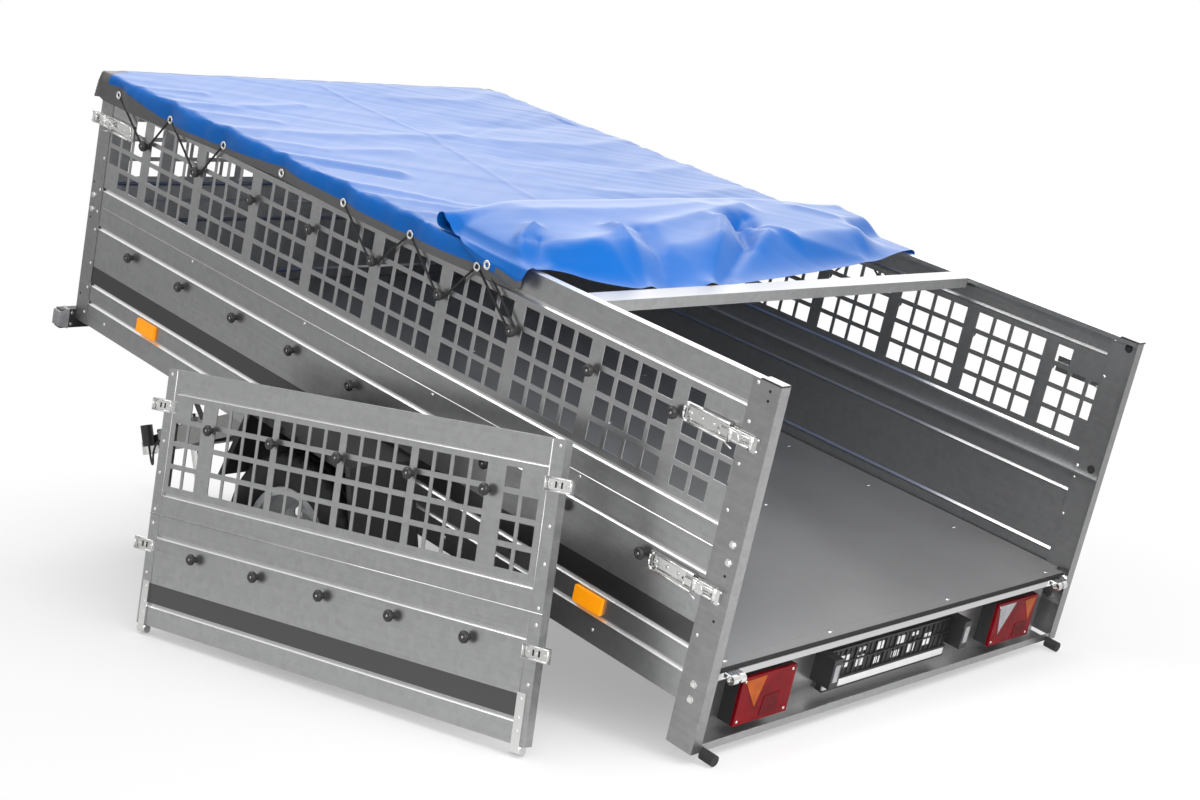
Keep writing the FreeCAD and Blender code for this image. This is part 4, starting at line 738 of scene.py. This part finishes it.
def bars(name, runs, radius, where, material, body):
    """Round bars between pairs of places: one tube, stretched and turned along each run."""
    points = []
    for start, end in np.asarray(runs, float):
        along = end - start
        length = np.linalg.norm(along)
        round_bar = turned_profile([(0.01, length), (radius, length), (radius, 0), (0.01, 0)], 8)
        across = np.cross(along / length, (0.3, 0.2, 1.0))
        across /= np.linalg.norm(across)
        basis = np.stack([across, np.cross(along / length, across), along / length])
        points.append(round_bar @ basis + start)
    rows, columns = round_bar.shape[:2]
    faces = repeated(grid_faces(rows, columns, ring=True), len(runs), rows * columns)
    piece = mesh_object(name, placed(np.array(points).reshape(-1, 3), where), faces, material)
    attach(piece, body)
    return piece


SKIN = 779.0
post_rivets = [(2620, SKIN, z) for z in (70, 180, 373, 482, 580, 670)]
post_rivets += [(46, SKIN, z) for z in (-60, 20, 98, 205, 262, 330, 428, 525)]
post_rivets += [(x, SKIN - 2, -62) for x in (160, 700, 1240, 1780, 2320)]
post_rivets += [(x, SKIN - 2, 270) for x in (560, 1100, 1640, 2180)]
post_hexes = [(2645, SKIN, -41), (2645, SKIN, -79), (2657, SKIN, 306), (2657, SKIN, 263)]
post_hexes += [(16, SKIN, 306), (16, SKIN, 262)]
post_holes = [(2656, SKIN, 662), (2656, SKIN, 640), (2656, SKIN, 120), (2656, SKIN, 230),
              (10, SKIN, 345), (12, SKIN, 235), (12, SKIN, -10)]
for side, word in SIDES:
    way = (0, side, 0)
    heads(f"post_rivets_{word}", RIVET, on_side(post_rivets, side), way, BED, bright, "bed")
    heads(f"post_bolts_{word}", HEX, on_side(post_hexes, side), way, BED, bright, "bed", False)
    heads(f"post_holes_{word}", HOLE, on_side(post_holes, side), way, BED, dark, "bed")
edge_screws = [(x, y, 0.0) for x in range(125, 2660, 315) for y in (-688, 688)]
middle_screws = [(x, y, 0.0) for x in range(125, 2660, 630) for y in (-296, 205)]
heads("floor_screws", SCREW * (1.25, 0.9, 1), edge_screws + middle_screws, (0, 0, 1), BED, bright,
      "bed")
heads("marker_screws", SCREW * 0.75, [(-32, side * y, z) for side in (-1, 1)
                                      for y in (724, 768, 812) for z in (-80, -116)],
      (-1, 0, 0), BED, bright, "bed")
heads("marker_back_screws", SCREW * 0.75, [(-1.8, side * y, z) for side in (-1, 1)
                                           for y in (790, 818) for z in (-80, -116)],
      (1, 0, 0), BED, bright, "bed")
print("heads on each side:", len(post_rivets), "rivets,", len(post_hexes), "bolts")

# %% [markdown]
# Post liners, caps and the floor's edge
#
# Inside each rear end a flat liner closes the wall, in two lengths with a large hole near the
# top of each, drawn as a black disc: painted shade. A small cap ends the post. The floor board
# ends in a strip, with a black strip behind it and a black sheet under its end that stand for the
# shadow in the gap before the sill: painted shadow. All of these are plain boxes, so a box
# between two corners is all they need.

# %% Plain boxes on the bed
def block(name, low, high, material):
    """A plain box between two corners, in the bed's frame."""
    low, high = np.minimum(low, high), np.maximum(low, high)
    points = [(x, y, z) for x in (low[0], high[0]) for y in (low[1], high[1])
              for z in (low[2], high[2])]
    faces = [(0, 1, 3, 2), (4, 6, 7, 5), (0, 4, 5, 1), (2, 3, 7, 6), (0, 2, 6, 4), (1, 5, 7, 3)]
    piece = mesh_object(name, bed(points), faces, material, smooth=False)
    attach(piece, "bed")


LINER_OUT, LINER_IN = 768.5, 766.0
for side, word in SIDES:
    block(f"liner_low_{word}", (2598, side * LINER_OUT, 1), (2680.5, side * LINER_IN, 277),
          sheet_metal)
    block(f"liner_high_{word}", (2594, side * LINER_OUT, 281), (2680.5, side * LINER_IN, 677.5),
          sheet_metal)
    block(f"post_cap_{word}", (2626, side * 749, 680.2), (2685, side * 781, 683), black)
    block(f"cap_plate_{word}", (2629, side * 750.5, 683), (2684, side * 779.5, 684.2), post_metal)
    inside = (0, -side, 0)
    holes = on_side([(2650, LINER_IN, 655), (2647, LINER_IN, 300)], side)
    rivets = on_side([(2604, LINER_IN, z) for z in (664, 558, 296, 262, 150)], side)
    heads(f"liner_holes_{word}", HOLE * (3.4, 3.4, 1), holes, inside, BED, dark, "bed")
    heads(f"liner_rivets_{word}", RIVET, rivets, inside, BED, bright, "bed")
block("floor_edge_board", (2636.3, -744, -8.2), (2668, 744, 0), board)
# A black strip behind the board's end and a black sheet under it: painted shadow in the gap.
block("floor_edge_shadow_strip", (2668, -744, -8.2), (2670, 744, 0), dark)
block("floor_edge_shade", (2668, -672, -11.7), (2670, 672, -8.2), dark)

# %% [markdown]
# Laps, knobs and latches
#
# The upper and lower panels lap along one line, which shows as a thin bright edge, and so do the
# gate's end strips. Every knob ends in a collar round a screw. Each latch is a tray with rolled
# edges, a lever, two wires that reach over it and a barrel that they hook on. The solids give
# the trays and the knobs' stems; the bars and heads below give the small edges that catch light.

# %% Panel laps, the gate's end strips and rivets
for side, word in SIDES:
    bars(f"panel_lap_{word}", [((76, side * 777.6, 279), (2604, side * 777.6, 279))], 1.7, BED,
         sheet_metal, "bed")
GATE_HALF, GATE_HIGH, STRIP = 720.0, 697.0, 38.0
bars("gate_lap", [((-GATE_HALF, -0.6, 302), (GATE_HALF, -0.6, 302))], 1.7, GATE, gate_metal,
     "tailgate")
bars("gate_strip_edges", [((side * (GATE_HALF - STRIP), -0.2, 2),
                           (side * (GATE_HALF - STRIP), -0.2, GATE_HIGH - 2))
                          for side in (-1, 1)], 1.3, GATE, gate_metal, "tailgate")
heads("gate_rivets", RIVET, [(side * (GATE_HALF - 15), 0, z) for side in (-1, 1)
                             for z in (683, 500, 414, 314, 276, 140)], (0, -1, 0), GATE, bright,
      "tailgate")

# %% Collars and screws of the knobs
COLLAR = turned_profile([(4.4, -0.5), (4.8, 2.4), (9.6, 2.8), (12.2, 0.8), (12.4, -0.4)], 20)
knob_black = finish("knob_black", (0.022, 0.022, 0.023), 0.25, bump=("noise", 300.0, 0.1))
wall_knobs = [(1340.5 + 270 * (n - 4), 799, z) for n in range(9) for z in (525, 183)]
for side, word in SIDES:
    places = on_side(wall_knobs, side)
    heads(f"knob_collars_{word}", COLLAR, places, (0, side, 0), BED, knob_black, "bed")
    heads(f"knob_screws_{word}", SCREW * 0.55, places, (0, side, 0), BED, bright, "bed")
gate_places = [(253.0 * (n - 2), -22, z) for n in range(5) for z in (554, 209)]
heads("gate_knob_collars", COLLAR, gate_places, (0, -1, 0), GATE, knob_black, "tailgate")
heads("gate_knob_screws", SCREW * 0.55, gate_places, (0, -1, 0), GATE, bright, "tailgate")
print("knobs:", 2 * len(wall_knobs) + len(gate_places))

# %% Latches: rolled edges, wires and barrels
TRAY = [(26, -20), (-94, -20), (-105, -14), (-107, 0), (-105, 14), (-94, 20), (26, 20)]


def latch_place(middle, side, way):
    """From a latch's own measures (along, up, out) to the bed's; way is 1 or -1 along."""
    return lambda u, w, d: (middle[0] + way * u, side * (779.3 + d), middle[1] + w)


for side, word in SIDES:
    edges, wires, barrels, studs = [], [], [], []
    for middle, way in (((2556, 540), 1), ((2556, 181), 1), ((80, 540), -1)):
        at = latch_place(middle, side, way)
        edges += [(at(*a, 11.5), at(*b, 11.5)) for a, b in zip(TRAY, TRAY[1:])]
        wires += [(at(8, w, 17), at(92, w, 12)) for w in (-10, 10)]
        wires += [(at(-6, 0, 8), at(8, w, 17)) for w in (-10, 10)]
        wires += [(at(40, 18, 9), at(66, -4, 19)), (at(14, -22, 9), at(44, -30, 12))]
        barrels += [(at(90, -16, 8), at(90, 16, 8)), (at(34, -14, 13), at(34, 14, 13))]
        studs += [at(u, 0, 2.6) for u in (-92, -58, -24)]
    bars(f"latch_edges_{word}", edges, 2.8, BED, bright, "bed")
    bars(f"latch_wires_{word}", wires, 1.9, BED, bright, "bed")
    bars(f"latch_barrels_{word}", barrels, 6.5, BED, bright, "bed")
    heads(f"latch_rivets_{word}", RIVET, studs, (0, side, 0), BED, bright, "bed")
print("bars on each side's latches:", len(edges) + len(wires) + len(barrels))

# %% Slots and screws of the gate's keepers and straps
KEEPER_X = GATE_HALF + 1
KEEPER_RIM = [(-38, -14), (38, -14), (38, 14), (-38, 14), (-38, -14)]
keeper_slots, keeper_rims, keeper_screws = [], [], []
for side in (-1, 1):
    for z in (596, 215):
        x = side * KEEPER_X
        keeper_rims += [((x + a, -10, z + b), (x + c, -10, z + d))
                        for (a, b), (c, d) in zip(KEEPER_RIM, KEEPER_RIM[1:])]
        keeper_slots += [((x + u, -4.6, z - 7), (x + u, -4.6, z + 7)) for u in (-9, 9)]
        keeper_screws += [(x + u, -5, z) for u in (-25, 0, 25)]
bars("keeper_rims", keeper_rims, 2.2, GATE, bright, "tailgate")
# Black bars for the slots: painted shade.
bars("keeper_slots", keeper_slots, 2.4, GATE, dark, "tailgate")
heads("keeper_screws", SCREW * 0.7, keeper_screws, (0, -1, 0), GATE, bright, "tailgate")
heads("strap_screws", SCREW * 0.7, [(side * (GATE_HALF - 26), -5, z) for side in (-1, 1)
                                    for z in (32, 62, 105)], (0, -1, 0), GATE, bright, "tailgate")
print("keepers:", len(keeper_screws) // 3)

# %% [markdown]
# Lamps and number plate
#
# A real lens is moulded in one piece from plastics of three colours. Here the lens stays solid
# red, and the clear, amber and darker fields are thin prisms laid on its face: a mask in the
# material would need the same corners, and would lose the step that catches the light. The plate
# holder is black, pierced by windows, with a blank pale strip along its foot.

# %% Fields of the lenses and the plate's strip
amber = finish("amber_lens", (0.36, 0.075, 0.008), 0.3, bump=("cells", 160.0, 0.9),
               tint=("noise", 30.0, 0.4), specular=0.12)
clear = finish("clear_lens", (0.30, 0.30, 0.31), 0.2, bump=("cells", 120.0, 0.9),
               tint=("noise", 30.0, 0.4))
deep_red = finish("deep_red_lens", (0.10, 0.001, 0.003), 0.3, bump=("cells", 160.0, 0.9),
                  tint=("noise", 60.0, 0.6), specular=0.1)
pale = finish("pale_plastic", (0.82, 0.82, 0.82), 0.4, tint=("noise", 40.0, 0.05))
SILL_WEB = 2681 - 60 + 2
LENS_FACE = SILL_WEB + 48


def tile(name, corners, material, x=LENS_FACE, thick=1.2):
    """A thin prism on a face that looks to the rear; corners (across, up) go anticlockwise."""
    front = [(x + thick, y, z) for y, z in corners]
    back = [(x, y, z) for y, z in corners]
    count = len(corners)
    faces = [list(range(count)), list(range(2 * count - 1, count - 1, -1))]
    faces += [[i, count + i, count + (i + 1) % count, (i + 1) % count] for i in range(count)]
    piece = mesh_object(name, bed(front + back), faces, material, smooth=False)
    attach(piece, "bed")


LENS_MIDDLE = 534.0
for side, word in SIDES:
    near, far = side * LENS_MIDDLE - 96, side * LENS_MIDDLE + 96
    tile(f"amber_field_{word}", [(near + 8, -55), (near + 60, -130), (near + 84, -52)]
         if side < 0 else [(far - 6, -52), (far - 60, -56), (far - 22, -118)], amber)
    tile(f"dark_field_{word}", [(near + 86, -160), (near + 150, -158), (near + 150, -106),
                                (near + 92, -110)] if side < 0 else
         [(far - 84, -160), (far - 30, -160), (far - 20, -124), (far - 80, -120)], deep_red)
    if side > 0:
        tile("clear_field", [(near + 8, -52), (near + 30, -138), (near + 86, -52)], clear)
heads("lens_screws", SCREW * 0.6, [(LENS_FACE, side * LENS_MIDDLE + y, z) for side in (-1, 1)
                                   for y in (-86, 86) for z in (-56, -160)],
      (1, 0, 0), BED, bright, "bed")
for side, word in SIDES:
    corners = [(side * y, z) for y, z in ((800, -130), (836, -120), (836, -74), (800, -66))]
    tile(f"marker_lens_{word}", corners[::side], clear, x=-34, thick=34)

# %% The plate holder's strip, rims, windows and webs
PLATE_FACE = SILL_WEB + 14
tile("plate_strip", [(-258, -171), (258, -171), (258, -150), (-258, -150)], pale, x=PLATE_FACE,
     thick=5)
for number, (low, high) in enumerate(((-175, -171), (-150, -144), (-68, -63), (-107, -104))):
    tile(f"plate_rim_{number}", [(-262, low), (262, low), (262, high), (-262, high)], black,
         x=PLATE_FACE, thick=6)
WINDOWS = [(-189, -106, 36, 34), (165, -111, 36, 34), (-45, -88, 30, 22), (47, -90, 30, 22)]
WINDOWS += [(y + gap, z, 13, high) for y, z, high in ((-119, -116, 30), (-49, -129, 18),
                                                      (34, -127, 18), (100, -120, 30))
            for gap in (-9, 9)]
WINDOWS += [(y, -84, 10, 10) for y in (100, 116, -128, -112)]
for number, (y, z, wide, high) in enumerate(WINDOWS):
    half, up = wide / 2, high / 2
    tile(f"plate_window_{number}", [(y - half, z - up), (y + half, z - up), (y + half, z + up),
                                    (y - half, z + up)], pale, x=PLATE_FACE, thick=1.5)
for number, y in enumerate(np.linspace(-252, 252, 25)):
    tile(f"plate_web_{number}", [(y - 2, -144), (y + 2, -144), (y + 2, -67), (y - 2, -67)], black,
         x=PLATE_FACE, thick=4 if number % 2 else 2.2)
for side, word in SIDES:
    y = side * 281
    tile(f"plate_lamp_lens_{word}", [(y - 9, -122), (y + 9, -122), (y + 9, -76), (y - 9, -76)],
         clear, x=SILL_WEB + 60, thick=1.5)
print("windows in the plate holder:", len(WINDOWS))

# %% [markdown]
# Cord and cable
#
# The tarp's elastic is already there as rigid rounds and only needs its finish. The car's cable
# hangs free from the plug to the drawbar, so it is a spline through the same route as its solid,
# smooth at every bend. The eyelets are turned rings that go with the cloth.

# %% Elastic, eyelets and the tow cable
elastic = finish("elastic_cord", (0.014, 0.014, 0.015), 0.75, bump=("cells", 420.0, 0.7))
dress(elastic, "tie_cord")
CABLE = [(-1505.5, -40.0, -13.5), (-1505.5, -40.0, -75.5), (-1447.5, -70.0, -87.5),
         (-1387.5, -102.0, -39.5), (-1336.7, -108.0, 0.0), (-1329.2, -85.1, 0.0)]
curve = bpy.data.curves.new("tow_cable_line", "CURVE")
curve.dimensions = "3D"
curve.bevel_depth = 0.004
curve.bevel_resolution = 3
curve.resolution_u = 10
spline = curve.splines.new("NURBS")
spline.points.add(len(CABLE) - 1)
for point, place in zip(spline.points, seat(CABLE, DRAWBAR)):
    point.co = (*place, 1)
spline.order_u = 3
spline.use_endpoint_u = True
curve.materials.append(rubber)
cable = bpy.data.objects.new("tow_cable_line", curve)
bpy.context.scene.collection.objects.link(cable)
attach(cable, "drawbar")
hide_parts("tow_cable")

RING = turned_profile([(5.8, 0.2), (6.2, 2.6), (9.0, 3.6), (12.0, 3.0), (12.5, 1.2), (10.5, 0)], 18)
ring_places = [(x, 786.5, 634) for x in EYELETS] + [(1780, 812.5, 658)]
for side, word in SIDES:
    places = on_side(ring_places, side)
    heads(f"eyelets_{word}", RING, places, (0, side, 0), BED, bright, "bed")
print("eyelets on each side:", len(ring_places))

# %% [markdown]
# The camera
#
# The viewing angle is from behind and to the left, a little above the top of the bed. The three
# directions below are the camera's right, down and forward ones in the scene. They go into the
# camera's matrix as they are, which is exact, where three angles would have to be rounded.

# %% Camera
camera_data = bpy.data.cameras.new("camera")
camera_data.lens = 57.42
camera_data.sensor_width = 36.0
camera_data.shift_x = -2.9 / 1200
camera_data.shift_y = -7.7 / 1200
camera_data.clip_end = 100
camera = bpy.data.objects.new("camera", camera_data)
bpy.context.scene.collection.objects.link(camera)
right = np.array([0.7207, 0.6923, 0.0363])
down = np.array([0.1248, -0.0781, -0.9891])
forward = np.array([-0.6819, 0.7174, -0.1427])
pose = np.eye(4)
pose[:3, :3] = np.stack([right, -down, -forward], 1)
pose[:3, 3] = (6.038, -3.926, 1.286)
camera.matrix_world = Matrix(pose.tolist()).normalized()
bpy.context.scene.camera = camera
print("camera at", camera.location[:])

# %% [markdown]
# Light and floor
#
# A plain studio: a white world that lights softly from all round and is seen white behind the
# trailer, a wide lamp overhead for the highlights on the cloth and the top edges, a wide one
# behind, and a small one that looks into the bed. The world is twice as strong in reflections
# as it is as light. It is a little dimmer at the front left and brighter high at the front right,
# like the two sides of a real studio, so that the flat sheets don't all look alike. The floor
# keeps the shadow near the trailer and fades to white further out. Dark grey in a plain world
# would do for the shapes, but metal looks like metal only by what it mirrors.

# %% World
bpy.context.scene.view_settings.view_transform = "Standard"
world = bpy.data.worlds.new("studio")
bpy.context.scene.world = world
world.use_nodes = True
tree = world.node_tree
tree.nodes.clear()


def rays(tree):
    """1 for rays that show the background itself, then 1 for rays off a glossy surface."""
    path = tree.nodes.new("ShaderNodeLightPath").outputs
    return (calc(tree, "MAXIMUM", path["Is Camera Ray"], path["Is Transmission Ray"]),
            path["Is Glossy Ray"])


seen, glossy = rays(tree)
around = coordinates(tree, "Generated")
dark_side = measure(tree, "DOT_PRODUCT", around, (1.0, 0.5, 0.0))
bright_side = measure(tree, "DOT_PRODUCT", around, (-0.5, 0.75, 0.43))
level = span(tree, glossy, 0, 1, 0.5, 1.0)
level = calc(tree, "MULTIPLY", level, span(tree, dark_side, -1.3, -1.0, 0.45, 1.0))
level = calc(tree, "MULTIPLY", level, span(tree, bright_side, 0.6, 1.0, 1.0, 1.8))
background = tree.nodes.new("ShaderNodeBackground")
background.inputs["Color"].default_value = (1, 1, 1, 1)
tree.links.new(calc(tree, "MAXIMUM", seen, level), background.inputs["Strength"])
output = tree.nodes.new("ShaderNodeOutputWorld")
tree.links.new(background.outputs[0], output.inputs[0])
print("nodes in the world:", len(tree.nodes))


# %% Lamps
def lamp(name, place, target, side, power):
    """A square lamp, so many metres a side, turned to look at its target."""
    data = bpy.data.lights.new(name, "AREA")
    data.shape = "SQUARE"
    data.size = side
    data.energy = power
    piece = bpy.data.objects.new(name, data)
    bpy.context.scene.collection.objects.link(piece)
    look = (Vector(target) - Vector(place)).to_track_quat("-Z", "Y")
    piece.matrix_world = Matrix.Translation(place) @ look.to_matrix().to_4x4()


lamp("overhead", (1.0, -0.6, 4.6), (2.0, 0.0, 0.5), 3.2, 95)
lamp("rear", (6.0, -2.2, 2.4), (2.2, 0.6, 0.4), 4.0, 105)
lamp("inner", (4.6, -0.6, 1.3), (2.9, 0.6, 0.2), 1.0, 22)
print("lamps:", [light.name for light in bpy.data.lights])

# %% Floor
floor_finish, tree, shader = new_net("studio_floor")
shader.inputs["Roughness"].default_value = 0.9
apart = tree.nodes.new("ShaderNodeSeparateXYZ")
tree.links.new(coordinates(tree), apart.inputs[0])
# Its colour darkens from 0.86 at x = 0.5 m to 0.35 at x = -9 m in front: painted shade, which the
# metal sheets mirror.
tree.links.new(span(tree, apart.outputs["X"], -9.0, 0.5, 0.35, 0.86), shader.inputs["Base Color"])
away = measure(tree, "DISTANCE", coordinates(tree), (2.0, 0.0, GROUND / 1000))
fade = span(tree, away, 1.0, 2.6, 0.35, 1.0, smooth=True)
white = tree.nodes.new("ShaderNodeEmission")
white.inputs["Color"].default_value = (1, 1, 1, 1)
mixed = tree.nodes.new("ShaderNodeMixShader")
tree.links.new(calc(tree, "MULTIPLY", rays(tree)[0], fade), mixed.inputs[0])
tree.links.new(shader.outputs[0], mixed.inputs[1])
tree.links.new(white.outputs[0], mixed.inputs[2])
tree.links.new(mixed.outputs[0], tree.nodes["Material Output"].inputs["Surface"])
REACH, FLOOR_Z = 30, GROUND / 1000 - 0.001
corners = np.array([[(x, y, FLOOR_Z) for y in (-REACH, REACH)] for x in (-REACH, REACH)])
floor = surface("studio_floor", corners, floor_finish)
print("floor reaches", REACH, "m each way")
